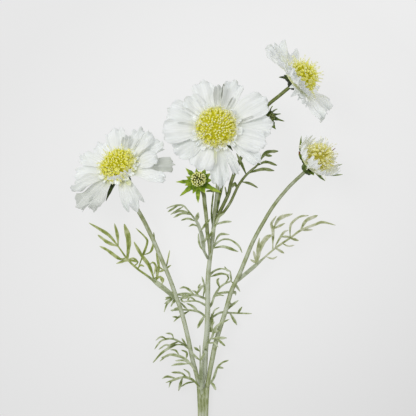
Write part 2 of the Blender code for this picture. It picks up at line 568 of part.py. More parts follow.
def corolla(name, flower, collection, material):
    """The ring of white petals on the plate that they grow from."""
    bm = bmesh.new()
    middle = Matrix.Translation((0, 0, (HUB_TOP + HUB_BOTTOM) / 2))
    bmesh.ops.create_cone(bm, cap_ends=True, segments=18, radius1=HUB_RADIUS, radius2=HUB_RADIUS,
                          depth=HUB_TOP - HUB_BOTTOM, matrix=middle)
    pieces = [add_mesh_object(name + "_hub", bm, collection)]
    for i, spec in enumerate(flower["petals"]):
        pieces.append(petal(f"{name}_{i}", spec, i, collection))
    return union(name, pieces, material)


def disc(name, size, collection, material):
    """A dome covered with florets, larger than life: each facet of a ball is drawn out to a point."""
    radius, rim, dome = (value * MM for value in size)
    foot = HUB_TOP + GAP
    bm = bmesh.new()
    bmesh.ops.create_icosphere(bm, subdivisions=3, radius=1.0)
    everything = bm.verts[:] + bm.edges[:] + bm.faces[:]
    bmesh.ops.bisect_plane(bm, geom=everything, plane_co=(0, 0, DISC_CUT), plane_no=(0, 0, 1),
                           clear_inner=True)
    bmesh.ops.holes_fill(bm, edges=[edge for edge in bm.edges if edge.is_boundary])
    upper = [face for face in bm.faces if face.calc_center_median().z > 0.02]
    for vert in bm.verts:
        x, y, z = vert.co
        if z >= 0:
            vert.co = Vector((x * radius, y * radius, rim + z * dome))
        else:
            down = z / DISC_CUT
            inward = (1 - (1 - DISC_FOOT) * down) / math.hypot(x, y)
            vert.co = Vector((x * inward * radius, y * inward * radius, rim + (foot - rim) * down))
    tips = bmesh.ops.poke(bm, faces=upper)["verts"]
    bm.normal_update()
    chance = random.Random(name)
    for tip in tips:
        tip.co += tip.normal * chance.uniform(*FLORET_HEIGHTS) * MM
    return add_mesh_object(name, bm, collection, material)


def calyx(name, cup, bracts, collection, material):
    """A green cup with pointed bracts, under a flower's hub or round a bud."""
    foot, rim, depth = (value * MM for value in cup)
    top = HUB_BOTTOM - GAP
    bm = bmesh.new()
    bmesh.ops.create_cone(bm, cap_ends=True, segments=10, radius1=foot, radius2=rim, depth=top + depth,
                          matrix=Matrix.Translation((0, 0, (top - depth) / 2)))
    pieces = [add_mesh_object(name + "_cup", bm, collection)]
    start = rim - BRACT_INSIDE
    low = top - BRACT_BELOW
    for i, (direction, reach, width, rise) in enumerate(bracts):
        turn = Matrix.Rotation(math.radians(direction), 3, "Z")
        span = reach * MM - start
        climb = span * math.tan(math.radians(rise))
        run = [turn @ Vector((start + span * t, 0, low + climb * t ** BRACT_CURVE)) for t in BRACT_STATIONS]
        pieces.append(blade(f"{name}_{i}", run, width * MM, Vector((0, 0, 1)), collection, root_share=1.0))
    return union(name, pieces, material)


def bud_head(name, radius, collection, material):
    """A granular ball of closed florets, flattened underneath."""
    columns, rows = 14, 8
    bm = bmesh.new()
    bmesh.ops.create_uvsphere(bm, u_segments=columns, v_segments=rows, radius=radius * MM)
    for vert in bm.verts:
        ring = round(math.acos(max(-1.0, min(1.0, vert.co.z / (radius * MM)))) / math.pi * rows)
        column = round(math.atan2(vert.co.y, vert.co.x) / (2 * math.pi) * columns) % columns
        if 0 < ring < rows - 2:
            vert.co *= 1 + GRAIN * (-1) ** (ring + column)
        if vert.co.z < 0:
            vert.co.z *= 0.55
    low = min(vert.co.z for vert in bm.verts)
    bmesh.ops.translate(bm, verts=bm.verts, vec=(0, 0, HUB_BOTTOM - low))
    return add_mesh_object(name, bm, collection, material)


def stalk(collection, cutters, material):
    """Three stems grown together, trimmed flat underneath where the stalk rests."""
    lobes = []
    for i, lobe in enumerate(STALK_LOBES):
        points = [[*at(u, v, height), radius * MM] for u, v, height, radius in lobe]
        lobes.append(tube(f"stalk_{i}", smooth_run(points, count=4), collection))
    made = union("stalk", lobes, material)
    bm = bmesh.new()
    bmesh.ops.create_cube(bm, size=0.1, matrix=Matrix.Translation((0, 0, -0.05)))
    under = add_mesh_object("rest_cutter", bm, cutters)
    under.hide_render = True
    under.display_type = "WIRE"
    keep_clear(made, under)
    return made


def leaf(name, heights, lobes, collection, material, trunk=None):
    """A cut leaf: a rachis and the lobes that start on it or on each other, joined in one body."""
    drawn = smooth_run([p[:3] for p in STEMS[name]], count=60) if trunk else []
    pieces = [trunk] if trunk else []
    base = Vector(lobes[0][2][0])
    reach = max((Vector(p) - base).length for p in lobes[0][2]) if heights else 0.0
    for i, (width, lift, points) in enumerate(lobes):
        run = []
        for k, (u, v) in enumerate(points):
            rise = lift * (k / (len(points) - 1)) ** 2
            if heights:
                rise += leaf_height(heights, (Vector((u, v)) - base).length / reach)
            else:
                rise += nearest(STEMS[name], (u, v))[2]
            run.append((u, v, rise))
        if drawn:
            run = [nearest(drawn, run[0][:2])[:3], *run]
        run = smooth_run(run, count=max(2, min(7, len(points) - 1)))
        for a, b in zip(run, run[1:]):
            drawn += [[x + (y - x) * k / 8 for x, y in zip(a, b)] for k in range(9)]
        pieces.append(blade(f"{name}_{i}", [at(*p) for p in run], width * MM, Vector((0, 0, 1)), collection,
                            root_share=0.85))
    return union(name, pieces, material)


def nearest(points, spot):
    """The point nearest to a place on the plan."""
    return min(points, key=lambda p: math.dist(p[:2], spot))


def leaf_height(heights, share):
    """A smooth height through the leaf's base, middle and tip."""
    low, middle, high = heights
    bend = 2 * (low + high - 2 * middle)
    return low + (high - low - bend) * share + bend * share * share


def stalk_cutter(cutters, material):
    """A copy of the stalk that is a gap wider all round."""
    lobes = []
    for i, lobe in enumerate(STALK_LOBES):
        points = [[*at(u, v, height), radius * MM + GAP] for u, v, height, radius in lobe]
        lobes.append(tube(f"stalk_cutter_{i}", smooth_run(points, count=4), cutters))
    made = union("stalk_cutter", lobes, material)
    made.hide_render = True
    made.display_type = "WIRE"
    return made


def main():
    clear_scene()
    parts = make_collection("scabiosa_flower")
    cutters = make_collection("cutters")
    paint = {name: make_material(name, colour) for name, colour in COLOURS.items()}

    heads = {name: head_matrix(spec["hub"], spec["tilt"]) for name, spec in HEADS.items()}
    routes = {name: stem_points(name, heads) for name in STEMS}
    wide = {name: fat_copy(name, run, cutters) for name, run in routes.items()}
    wide["stalk"] = stalk_cutter(cutters, paint["stem"])

    stalk(parts, cutters, paint["stem"])
    for name, run in routes.items():
        made = tube(name, run, parts, paint["stem"])
        if name == "side_branch":
            made = leaf(name, None, BRANCH_LOBES, parts, paint["leaf"], trunk=made)
        if name in BRANCHES_FROM:
            keep_clear(made, wide[BRANCHES_FROM[name]])
    for name, (clear_of, heights, lobes) in LEAVES.items():
        made = leaf(name, heights, lobes, parts, paint["leaf"])
        for stem in clear_of:
            keep_clear(made, wide[stem])

    for name, spec in FLOWERS.items():
        for made in (
            calyx(name + "_calyx", spec["cup"], spec["bracts"], parts, paint["bract"]),
            corolla(name + "_petals", spec, parts, paint["petal"]),
            disc(name + "_disc", spec["disc"], parts, paint["disc"]),
        ):
            made.matrix_world = heads[name]
    for name, spec in BUDS.items():
        for made in (
            calyx(name + "_bracts", spec["cup"], spec["bracts"], parts, paint["bract"]),
            bud_head(name + "_head", spec["head"], parts, paint["bud"]),
        ):
            made.matrix_world = heads[name]


main()
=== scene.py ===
"""The looks of the scabiosa spray: fine stems, leaves, bracts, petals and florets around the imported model.

The plan, its lists and the formulas for runs, heads and petals follow the ones that the solids are made
from, so that each fine piece lies where the solid that it stands for is. Only the front bud's stem is
thicker and a little straighter here. u and v are places on the plan, seen from above, and heights are in
millimetres.
"""
import math
import random

import bmesh
import bpy
import numpy as np
from mathutils import Matrix, Vector

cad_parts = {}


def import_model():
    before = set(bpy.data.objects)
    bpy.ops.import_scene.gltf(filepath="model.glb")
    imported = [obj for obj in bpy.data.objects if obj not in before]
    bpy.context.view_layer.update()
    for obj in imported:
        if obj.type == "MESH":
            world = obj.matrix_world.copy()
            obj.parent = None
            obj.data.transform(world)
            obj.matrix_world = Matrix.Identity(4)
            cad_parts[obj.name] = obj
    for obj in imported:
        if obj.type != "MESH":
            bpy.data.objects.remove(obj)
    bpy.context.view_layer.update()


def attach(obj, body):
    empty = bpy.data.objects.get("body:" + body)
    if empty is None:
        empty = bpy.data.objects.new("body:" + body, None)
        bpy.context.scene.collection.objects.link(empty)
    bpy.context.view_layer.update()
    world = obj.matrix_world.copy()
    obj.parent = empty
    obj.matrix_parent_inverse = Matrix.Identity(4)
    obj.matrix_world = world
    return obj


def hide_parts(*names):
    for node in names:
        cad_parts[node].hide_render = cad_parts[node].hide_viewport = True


MM = 0.001
PLAN_UNIT = 0.000734  # one unit of the plan, in metres
PLAN_ORIGIN = (203.0, 470.0)  # the place on the plan that lies at X = 0, Y = 0
UP = np.array((0.0, 0.0, 1.0))
LEVEL_HELPER = np.array((0.3, 0.1, 0.95))  # not along any stem, so that it can start a turned frame
GOLDEN_TURN = math.pi * (3 - math.sqrt(5))  # from one floret to the next, so that they fill a dome evenly

VIEW_CENTRE = (208.0, 208.0)  # the place on the plan under the camera
VIEW_HEIGHT = 2.42
VIEW_DISTANCE = 2.4  # from the camera down to the level of the stems
VIEW_WIDTH = 416 * PLAN_UNIT  # what the camera sees there, across
VIEW_SENSOR = 36.0

SKY = 0.5  # strength of the even light from all round
# Each soft light: its place and its size in metres, and its power in watts.
LIGHTS = {"key": ((-1.1, 0.9, 1.5), 1.3, 15.0), "fill": ((1.3, 0.9, 1.4), 1.6, 5.0)}
LIGHT_TARGET = (0.0, 0.18, 0.0)
FLOOR_SIZE = 12.0
FLOOR_DROP = 0.05 * MM  # how far the floor lies below the table's level
FLOOR_GLOW = 0.668  # at the middle of the picture
FLOOR_MIDDLE = 0.19  # the Y of that middle
FLOOR_REACH = 0.15  # the glow changes over this distance each way from the middle
# Painted light: how much brighter the floor's glow gets per metre up the picture, and how that grows per
# metre to the right.
FLOOR_SLOPE = (0.3, 1.1)
# A brighter patch of painted light, which also lifts the spray's shadow: its X and Y, its radius and how
# much brighter it is.
FLOOR_GLOW_PATCH = (0.01, 0.165, 0.2, 0.11)

STEM_STEP = 2.0 * MM
STEM_SIDES = 20
STEM_RIBS = 7
STEM_RIB_DEPTH = 0.045  # share of the radius
STEM_PAINTED_TOP_LIGHT = 0.1  # painted highlight: how much paler a stem's top is made
STEM_PAINTED_SIDE_SHADE = 0.55  # painted shade: how much darker its sides are made than its top
STEM_MARK = 60 * MM  # a stem's along mark grows by one over this length
STEM_ENTRY = (3.2 * MM, -1.0 * MM)  # how far below the foot of the cup a stem's last two points are
STALK_TOP = 391  # the v at which the stalk passes into the three stems

BLADE_THICKNESS = 0.8 * MM
BLADE_STEP = 1.5 * MM
BLADE_SIDES = 12
BLADE_CHANNEL = 0.55  # depth of the channel along a blade, as a share of its thickness
BLADE_EDGE_LIFT = 0.12  # how far a blade's edges stand up, as a share of half its width
LOBE_SPREAD = 1.15  # how much broader a leaf's lobes are than the plain blades that they stand for
# The width along a blade: (share of its length, share of its width).
BRACT_SHAPE = ((0, 1), (0.3, 1.05), (0.6, 0.8), (0.85, 0.38), (1, 0.06))
LOBE_SHAPE = ((0, 0.5), (0.16, 0.48), (0.4, 0.95), (0.6, 1), (0.8, 0.85), (0.93, 0.55), (1, 0.2))
RACHIS_SHAPE = ((0, 1.1), (0.2, 0.95), (0.6, 0.8), (0.85, 0.8), (0.95, 0.55), (1, 0.2))
TWIG_SHAPE = ((0, 0.8), (0.5, 1.0), (0.85, 0.8), (1, 0.3))

PETAL_THICKNESS = 0.25 * MM
PETAL_GRID = (26, 29)  # a petal's rows and columns of points
SMALL_PETAL_GRID = (14, 11)
CREST_GRID = (12, 11)
PETAL_PLEAT = 0.6 * MM
PETAL_CUP = 0.9 * MM
PETAL_CORNERS = 0.18  # share of the length that is missing at a petal's corners
PETAL_TEETH = 0.012  # share of the length by which the middle and side lobes stand out
PETAL_NOTCH = 0.018  # and by which smaller teeth do
PETAL_CLEFT = 0.07  # depth of the two clefts in a petal's tip, as a share of the length
PETAL_CLEFT_WIDTH = 0.07  # as a share of half the petal's width
PETAL_ROOT = 9.2 * MM  # petals start at this distance from the flower's axis
PETAL_CLAW = 1.7 * MM  # half the width of a petal where it leaves the hub
PETAL_SINK = 0.3 * MM  # how far below the hub's zero height a petal starts
PETAL_LAYER = 0.5 * MM  # how far every second petal lies above its neighbours
PETAL_WAVES = ((0.24 * MM, 10), (0.11 * MM, 21))  # fine waves across it: their height and how close they are
PETAL_RUFFLE = 2.0 * MM  # height of the waves along the edge
PETAL_CRUMPLE = 0.9 * MM
PETAL_CURL = (-1.6 * MM, 0.8 * MM)  # the least and the most that a petal's tip curls up
PETAL_CURL_START = 0.7  # share of the length
SMALL_RELIEF = 0.5  # how deep the pleats and waves of extra petals are, against those of large ones
CREST_RELIEF = 0.45
CREST_ROOT = 0.72  # where the small petals round a disc start, as a share of its radius
CREST_CLAW = 1.0 * MM  # half their width there
CREST_STEP = 1.0 * MM  # the first ring of them starts this far above the hub, the next as far above that one

HUB_RADIUS = 10.5 * MM
HUB_BOTTOM = -0.9 * MM
HUB_TOP = 0.3 * MM
HUB_MARK = 0.04  # the hub is as green as a petal is at this share of its length
GAP = 0.3 * MM  # between the hub and the cup under it or the disc on it
DISC_FOOT = 0.6  # share of the disc's radius left at its foot
DISC_COVER = 1.6 * MM  # how far the dome under the florets lies below the outside of the disc
FLORET_REACH = 105  # degrees from the disc's top down to its lowest florets
FLORET_SINK = 1.9 * MM  # how deep florets start in the disc
FLORET_SIDES = 10
# A floret's outline, as (share of its length, share of its width), and how far its five lobes stand out.
CLOSED_FLORET = (((0, 0.35), (0.5, 0.42), (0.8, 0.62), (0.94, 0.45), (1.0, 0.12)), 0.0)
OPEN_FLORET = (((0, 0.32), (0.45, 0.36), (0.75, 0.55), (0.92, 0.9), (1.0, 1.15), (0.93, 0.7), (0.7, 0.2)),
               0.3)
LATE_FLORETS = 0.12  # share of the florets in the open part of a disc that are closed all the same
FRINGE_DOWN = 92  # degrees from the disc's top down to the florets of its fringe
STAMEN_REACH = 95  # and to its lowest stamens
STAMEN_SINK = 1.0 * MM
STAMEN_RADIUS = 0.15 * MM
# A stamen's thread and its anther: (share of its length, share of its radius).
STAMEN_SHAPE = ((0, 1.2), (0.3, 1.0), (0.6, 0.9), (0.82, 0.9), (0.88, 2.2), (0.93, 2.8), (0.97, 2.0),
                (1.0, 0.4))

CUP_RIBS = 10
CUP_RIB_DEPTH = 0.05  # share of the radius
CUP_SHARES = (0.0, 0.08, 0.2, 0.35, 0.5, 0.65, 0.8, 0.92, 1.0)  # of its depth, where its rows of points lie
CUP_END = 0.75  # share of the radius left at its foot and its top
BRACT_INSIDE = 2.0 * MM  # a bract starts this far inside the rim of the cup
BRACT_BELOW = 1.0 * MM  # and this far below it
BRACT_CURVE = 2.6  # the power that its rise follows
BRACT_SWAY = 0.5 * MM  # the most that it bends sideways

BUD_GRAINS = 72  # closed florets of a bud
BUD_REACH = 1.35  # how far down they go: 1 less the cosine of the angle from the top
BUD_CORE = 0.84  # radius of the ball under them, as a share of the head's
BUD_BOTTOM = 0.55  # how deep the ball's lower half is, as a share of its upper half

# A stem's points are (u, v, height, radius), the last two in millimetres, from its foot to its head.
STALK_LOBES = (
    [(200.5, 476, 1.45, 1.8), (200.4, 440, 1.45, 1.8), (200.1, 412, 2.2, 1.75), (199.3, 391, 3.1, 1.75)],
    [(203.0, 476, 1.45, 1.7), (203.0, 440, 1.45, 1.7), (203.0, 412, 2.0, 1.7), (203.1, 391, 2.8, 1.7)],
    [(205.6, 476, 1.45, 1.8), (205.7, 440, 1.45, 1.8), (206.0, 412, 2.2, 1.75), (206.9, 391, 3.1, 1.8)],
)
STEMS = {
    "left_flower_stem": [
        (199.1, 390.5, 3.1, 1.5), (198.2, 383, 3.4, 1.6), (195.5, 371.8, 3.8, 1.6), (192.4, 360.3, 4.3, 1.6),
        (187.8, 338.2, 5.2, 1.6), (181.7, 313.7, 6.6, 1.6), (175, 294.3, 7.8, 1.55),
        (169.3, 278.3, 8.8, 1.5), (161, 258.6, 10.2, 1.5), (153.3, 240.7, 11.6, 1.5),
        (143.8, 221, 12.8, 1.5), (134.8, 205, 13.4, 1.5), (129.5, 192, 14.2, 1.5),
    ],
    "large_flower_stem": [
        (203.0, 390.5, 2.7, 0.95), (203.2, 384, 2.7, 1.5), (204.6, 372, 3.4, 1.9), (205.4, 350, 4.4, 2.1),
        (207, 333.6, 5.2, 2.0), (207.7, 310.6, 6.4, 1.9), (208, 280, 8.2, 1.75), (209.8, 260, 9.5, 1.6),
        (212.3, 241, 11, 1.55), (213.6, 228.3, 12, 1.5), (215, 212, 12.8, 1.5), (217.5, 192, 14.0, 1.5),
        (218, 172, 15.5, 1.5), (217.4, 155, 19.5, 1.5), (216.7, 146, 24.2, 1.5),
    ],
    "small_flower_stem": [
        (207.1, 390.5, 3.2, 1.6), (207.9, 384, 3.7, 1.65), (210, 371.8, 4.4, 1.7), (212.3, 360.3, 5.1, 1.75),
        (215.4, 345, 6.2, 1.75), (220, 329, 7.4, 1.7), (225.3, 312.9, 8.6, 1.65), (231.5, 291.5, 10.2, 1.6),
        (239.2, 275.2, 11.6, 1.55), (246.2, 258.3, 13, 1.5), (253.2, 241.5, 14.3, 1.4),
        (263.1, 223.2, 15.6, 1.35), (274.3, 205, 16.6, 1.3), (289, 187, 17.2, 1.25),
    ],
    "top_flower_stem": [
        (213.4, 229, 12, 1.3), (217.4, 218, 13.6, 1.3), (220, 211.7, 14.2, 1.3), (224.4, 202.8, 15, 1.3),
        (228.9, 192.6, 15.8, 1.3), (231.6, 181, 16.4, 1.3), (240, 160, 17.4, 1.3), (252, 135, 19.5, 1.3),
        (261, 113, 22.5, 1.3), (269, 104.2, 25.5, 1.3), (279, 96.2, 29.5, 1.3),
    ],
    "front_bud_stem": [
        (210.3, 257, 9.7, 1.1), (208.9, 241, 14, 1.25), (207.4, 231.5, 15.5, 1.3), (206.8, 221.9, 17, 1.35),
        (205.8, 212.3, 19, 1.4), (204.6, 202.8, 22, 1.45), (203.6, 194, 26, 1.45),
    ],
    "side_bud_stem": [
        (247.5, 144.5, 18.6, 0.95), (252.5, 137, 16, 0.95), (256.5, 125, 12, 0.95),
    ],
    "side_branch": [
        (218.2, 215.5, 13.9, 1.0), (221.5, 214, 15.6, 1.0), (225, 210.4, 16.8, 1.0),
        (230.2, 202.8, 17.5, 1.0), (233.9, 195, 17.6, 1.0), (238.7, 185, 18.2, 0.95),
        (245.1, 176.3, 18.8, 0.9), (251.5, 170, 19.4, 0.8), (257, 165.5, 19.8, 0.7), (261, 158, 20.2, 0.6),
    ],
}

# Thin twigs and leaflets beside the centre stem, under the front bud, which have no solids: their width and
# their points.
TWIGS = [
    (1.5, [(212.8, 226, 12.8), (211.9, 219, 13.2), (211.6, 212, 13.6), (212.1, 204, 14), (212.9, 197, 14.6),
           (213.4, 191.3, 15.4)]),
    (1.7, [(213.6, 191.6, 15.4), (210.5, 190.8, 16), (206, 191.3, 16.4)]),
    (1.7, [(213.0, 191.4, 15.4), (216, 191.1, 16.2), (219.2, 192.4, 16.8)]),
    (2.3, [(216.4, 213, 13.4), (218.0, 204, 14.2), (219.8, 196, 14.8), (221.8, 187.5, 15.2),
           (223, 181, 15.6)]),
    (1.2, [(226.6, 196.5, 16.4), (226.0, 191.5, 17), (225.0, 186.5, 17.4)]),
]

# Each leaf: its look, its height in millimetres at its base, middle and tip, and its lobes, the rachis
# first. A lobe is (width, lift of its tip, plan points), the first two in millimetres.
LEAVES = {
    "left_stem_leaf": ("leaf_green", (6.4, 6.6, 9.5), [
        (2.4, 0, [(176, 299), (167, 291.5), (160, 286), (146, 275.5), (137.4, 269.4), (127.2, 259.8),
                  (117.6, 246.5), (108.7, 235.6), (98, 228.5), (88.3, 222.9)]),
        (2.0, 2, [(117.6, 246), (117, 235.6), (114.1, 223.5)]),
        (2.2, -1, [(117.6, 246.5), (107.4, 242.6), (97.2, 235)]),
        (3.4, 3, [(127, 258), (128.2, 240), (124, 224.1)]),
        (2.2, -1, [(126.5, 257.5), (119.5, 259.2), (106.8, 250.3), (99.1, 246.5)]),
        (1.8, -2, [(137.4, 262.5), (127.2, 260.5), (115.7, 264)]),
        (1.5, 0, [(137.4, 269.4), (141.9, 257.3), (147, 242.6), (144.4, 236.9), (135.5, 228.3)]),
        (1.5, 0, [(143, 255), (150.6, 251.6), (153.7, 240), (153.4, 232.4)]),
        (2.5, 3, [(153.3, 279), (148.9, 266.2), (141.2, 255.4), (133.6, 242)]),
        (1.5, 2, [(155.9, 282), (156.5, 272), (154.6, 264.3), (150.8, 263)]),
        (1.8, -0.5, [(155.9, 282), (158.4, 267), (155.9, 252.8)]),
        (1.5, -1, [(157.2, 272.6), (163.5, 270.4), (170.9, 265.3)]),
        (1.8, -2, [(154.6, 280.9), (159.7, 277), (162.3, 283.4)]),
    ]),
    "right_stem_leaf": ("leaf_pale", (11.4, 13, 18), [
        (2.2, 0, [(236.8, 281), (242, 277), (256.8, 264.6), (274.3, 249.2), (290.4, 238), (301, 230.3),
                  (315, 224.6), (323, 222.2), (335.7, 225.2)]),
        (1.6, -2, [(301, 230), (312.9, 229.9)]),
        (2.4, 2, [(301.5, 229), (306.6, 220.4), (317.8, 215.4)]),
        (1.7, 3, [(290.4, 236.5), (291.1, 224.6), (299.6, 216.9), (308.7, 215.5)]),
        (1.7, -2, [(290.4, 238), (299.2, 240.8)]),
        (1.6, 3, [(290, 237), (280, 236.6)]),
        (1.6, 1, [(275.8, 246), (283.4, 233), (288.7, 230.1)]),
        (2.0, 4, [(273, 248), (273.2, 230.3), (271.5, 223.9), (276.4, 215.9)]),
        (1.6, 2, [(273.5, 229), (285.2, 223.2)]),
        (2.4, 3, [(273.5, 229), (279.9, 218.3), (292.9, 213.8)]),
        (1.7, -2, [(275.5, 248), (284.5, 253.4)]),
        (3.2, 3, [(257, 264), (260.3, 248.5), (266.6, 238), (273.5, 234.9)]),
        (1.8, 2, [(257, 262), (258.2, 247), (259.6, 238)]),
        (1.8, 1, [(256.5, 262), (253.6, 251)]),
        (1.6, 0, [(256.5, 263), (250.4, 259.6)]),
    ]),
    "upper_left_leaf": ("leaf_grey", (12.2, 18.6, 22), [
        (1.9, 0, [(208, 259), (204, 250.6), (203.4, 244.2), (201.5, 234.6), (199.5, 228.3), (196.4, 221.3),
                  (187.4, 209.8), (182.3, 205.3), (172.8, 206), (166.7, 208.5)]),
        (1.4, -1, [(178, 205.5), (167.7, 212)]),
        (1.5, -1, [(190, 213), (181, 211), (172.1, 213.6)]),
        (1.5, -2, [(191, 214.5), (182, 213.5), (173.4, 217.7)]),
        (1.5, -3, [(195, 221), (188, 218.6), (181, 220.3)]),
        (2.4, 4, [(196.4, 221), (198.3, 212.3)]),
        (1.7, 4, [(200.5, 231), (207.2, 222.5), (210.4, 218.7)]),
        (1.4, -3, [(204.6, 252), (200.8, 247.4), (198.9, 241), (198.3, 233.4)]),
        (1.8, 2.5, [(202, 242), (209.7, 235.9), (216, 224), (219, 217), (224.5, 213.2)]),
        (1.7, 0.5, [(216, 224.5), (224, 222), (231.7, 221.6)]),
    ]),
    "upper_right_leaf": ("leaf_grey", (10.4, 13, 15), [
        (1.7, 0, [(210.8, 252), (215, 244.8), (222.5, 239.7), (229, 239.6), (234.6, 242.3), (239.5, 247),
                  (242.3, 253.1)]),
        (1.9, -2, [(212.5, 248.5), (223.8, 246.8), (238.4, 251.9)]),
        (1.6, 2, [(214.8, 243), (220, 234.6), (229.5, 234.6)]),
    ]),
    "curled_right_leaf": ("leaf_grey", (8.6, 12, 14), [
        (1.6, 0, [(208.6, 277.5), (213, 272), (219.3, 269.1), (225, 269.3), (230.5, 272)]),
        (1.6, -1, [(210.4, 277), (220.6, 273.9), (229.5, 275.4)]),
    ]),
    "middle_right_leaf": ("leaf_grey", (6.3, 6.9, 7.3), [
        (1.9, 0, [(208.2, 309), (211.6, 304.5), (213.9, 297.6), (216.9, 292.2), (220, 287.7), (225.3, 283.8),
                  (231, 281.2), (230.8, 276), (230.2, 270.8)]),
        (1.8, 2, [(219.3, 287), (217.4, 281.2), (219.3, 278.3)]),
        (1.8, 0, [(216.9, 293.8), (229.2, 292.6), (236.3, 294.2)]),
        (1.6, 0, [(231, 281.4), (236.8, 286.9), (240.3, 292.2)]),
    ]),
    "lower_right_leaf": ("leaf_grey", (5.0, 5.2, 7), [
        (1.7, 0, [(208, 320), (213, 317.5), (217.7, 314.4), (222.3, 312.9), (227.6, 313.3), (236.8, 313.7),
                  (252.1, 314.2)]),
        (1.7, 2, [(226, 312.5), (231, 306.5), (238.7, 300.7)]),
        (1.9, -1, [(230, 313.4), (237.2, 325.9)]),
        (1.5, 2, [(238, 313.7), (242.2, 307.2)]),
        (2.4, 0, [(210, 333), (211.6, 324), (211.8, 314)]),
    ]),
    "front_leaf": ("leaf_grey", (6.5, 11.2, 14), [
        (1.9, 0, [(205.6, 351), (206.6, 345.8), (210, 340.4), (212.9, 336), (213.6, 330.5), (218.5, 325.1),
                  (229.5, 319.4)]),
        (1.9, 0.5, [(211.5, 339.5), (217, 338.6), (226.9, 338.3)]),
        (1.7, 0, [(216, 339), (220, 341.8), (225.3, 346.6)]),
        (1.5, 2, [(213.2, 333), (217.4, 327)]),
    ]),
    "long_left_leaf": ("leaf_grey", (6.0, 4.3, 3.0), [
        (1.8, 0, [(206.8, 300), (198.6, 296.6), (192.4, 295.3), (185.5, 294), (178, 295), (172, 298.5),
                  (167, 304), (163.7, 312.9)]),
        (1.4, 0, [(172.5, 298), (164.9, 298.4)]),
        (1.4, 0, [(171, 299.5), (164.1, 304.5)]),
        (1.4, -0.3, [(175, 298), (170.6, 307.5)]),
        (1.6, 2.5, [(194, 295.3), (188, 289.5), (183.3, 287.7), (179.5, 289)]),
        (2.0, 3, [(196, 295.3), (200.9, 288), (203.6, 285.4)]),
        (1.5, 3, [(203, 297.5), (204.6, 287.7), (201.8, 276.7)]),
        (1.4, 2.5, [(186, 294.5), (181, 300), (184.6, 303)]),
    ]),
    "short_left_leaf": ("leaf_grey", (6.3, 7, 8), [
        (1.6, 0, [(207, 306.5), (198.6, 302.2), (192.4, 301.4), (183, 302.2)]),
        (1.4, 2, [(196, 301.8), (190.5, 297.6), (184, 298.2)]),
    ]),
    "lower_left_leaf": ("leaf_grey", (5.4, 4.0, 3.4), [
        (1.8, 0, [(207, 318.5), (198.6, 312.4), (187.8, 310.6), (179, 310.4), (170.2, 311)]),
        (1.7, 3, [(198.5, 312.4), (192, 306.5), (186.5, 303.9)]),
        (1.5, -0.8, [(190, 311), (177.9, 318.3), (173.3, 322.8)]),
        (2.2, 1.5, [(204.2, 316.5), (199.3, 325.1), (197.4, 329)]),
    ]),
    "foot_left_leaf": ("leaf_grey", (5.2, 7.5, 10), [
        (1.7, 0, [(188.6, 349), (181, 343.4), (173.3, 339.7), (166.5, 339.6), (160.3, 342), (154.2, 350)]),
        (1.7, -2, [(184.5, 346.2), (175.6, 345.6), (162.6, 352.7), (152.7, 363.4)]),
        (1.5, 1.5, [(178.5, 342), (167.2, 347.2)]),
        (1.4, 2, [(186.5, 346.8), (181.5, 338.6)]),
    ]),
    "foot_leaves": ("leaf_grey", (2.6, 7.6, 9), [
        (1.9, 0, [(202.6, 401), (201.4, 390), (201.1, 379), (200.6, 366), (200.2, 355), (199.8, 346)]),
        (1.8, 1.2, [(201, 380), (194.7, 371.3), (190.9, 365.4), (185.5, 360), (179.4, 356.9), (168.7, 355.4),
                    (159.5, 361.9)]),
        (1.8, 2.4, [(201.3, 392), (195.5, 383.3), (190.1, 379.5), (184, 377.9), (177.9, 379.1),
                    (165.7, 383.3)]),
        (1.6, 1, [(199.8, 352), (196.5, 349.6), (193.6, 347.6)]),
        (1.6, 1.5, [(200.2, 361), (194.6, 356.5), (191.2, 351.6)]),
        (1.6, 1.5, [(200.4, 361.5), (203, 356.5), (205, 353.5)]),
        (1.5, 2, [(185.9, 360.4), (186.7, 353.4), (181, 350.4)]),
        (1.6, -1.5, [(189.6, 364.4), (177.1, 364.9), (171, 366.8)]),
        (1.5, 1.5, [(170, 355.3), (161.1, 358.6)]),
        (1.5, 2, [(187, 378.6), (181, 373.7), (171, 373)]),
        (1.5, 1, [(176.5, 379.6), (167.2, 377.2), (161.8, 379.5)]),
        (1.8, -3, [(182.5, 378), (178.3, 392.1)]),
    ]),
    "foot_right_leaf": ("leaf_grey", (3.8, 6.5, 9), [
        (2.0, 0, [(208, 386), (211.4, 382.5), (213.9, 378.7), (216.1, 371.8), (217.7, 368), (222.3, 363.4),
                  (228.8, 360.9)]),
        (1.6, -1, [(217.7, 368), (223.6, 369)]),
        (2.0, -0.5, [(210.4, 383.6), (213, 385.6), (216, 391.2)]),
    ]),
}
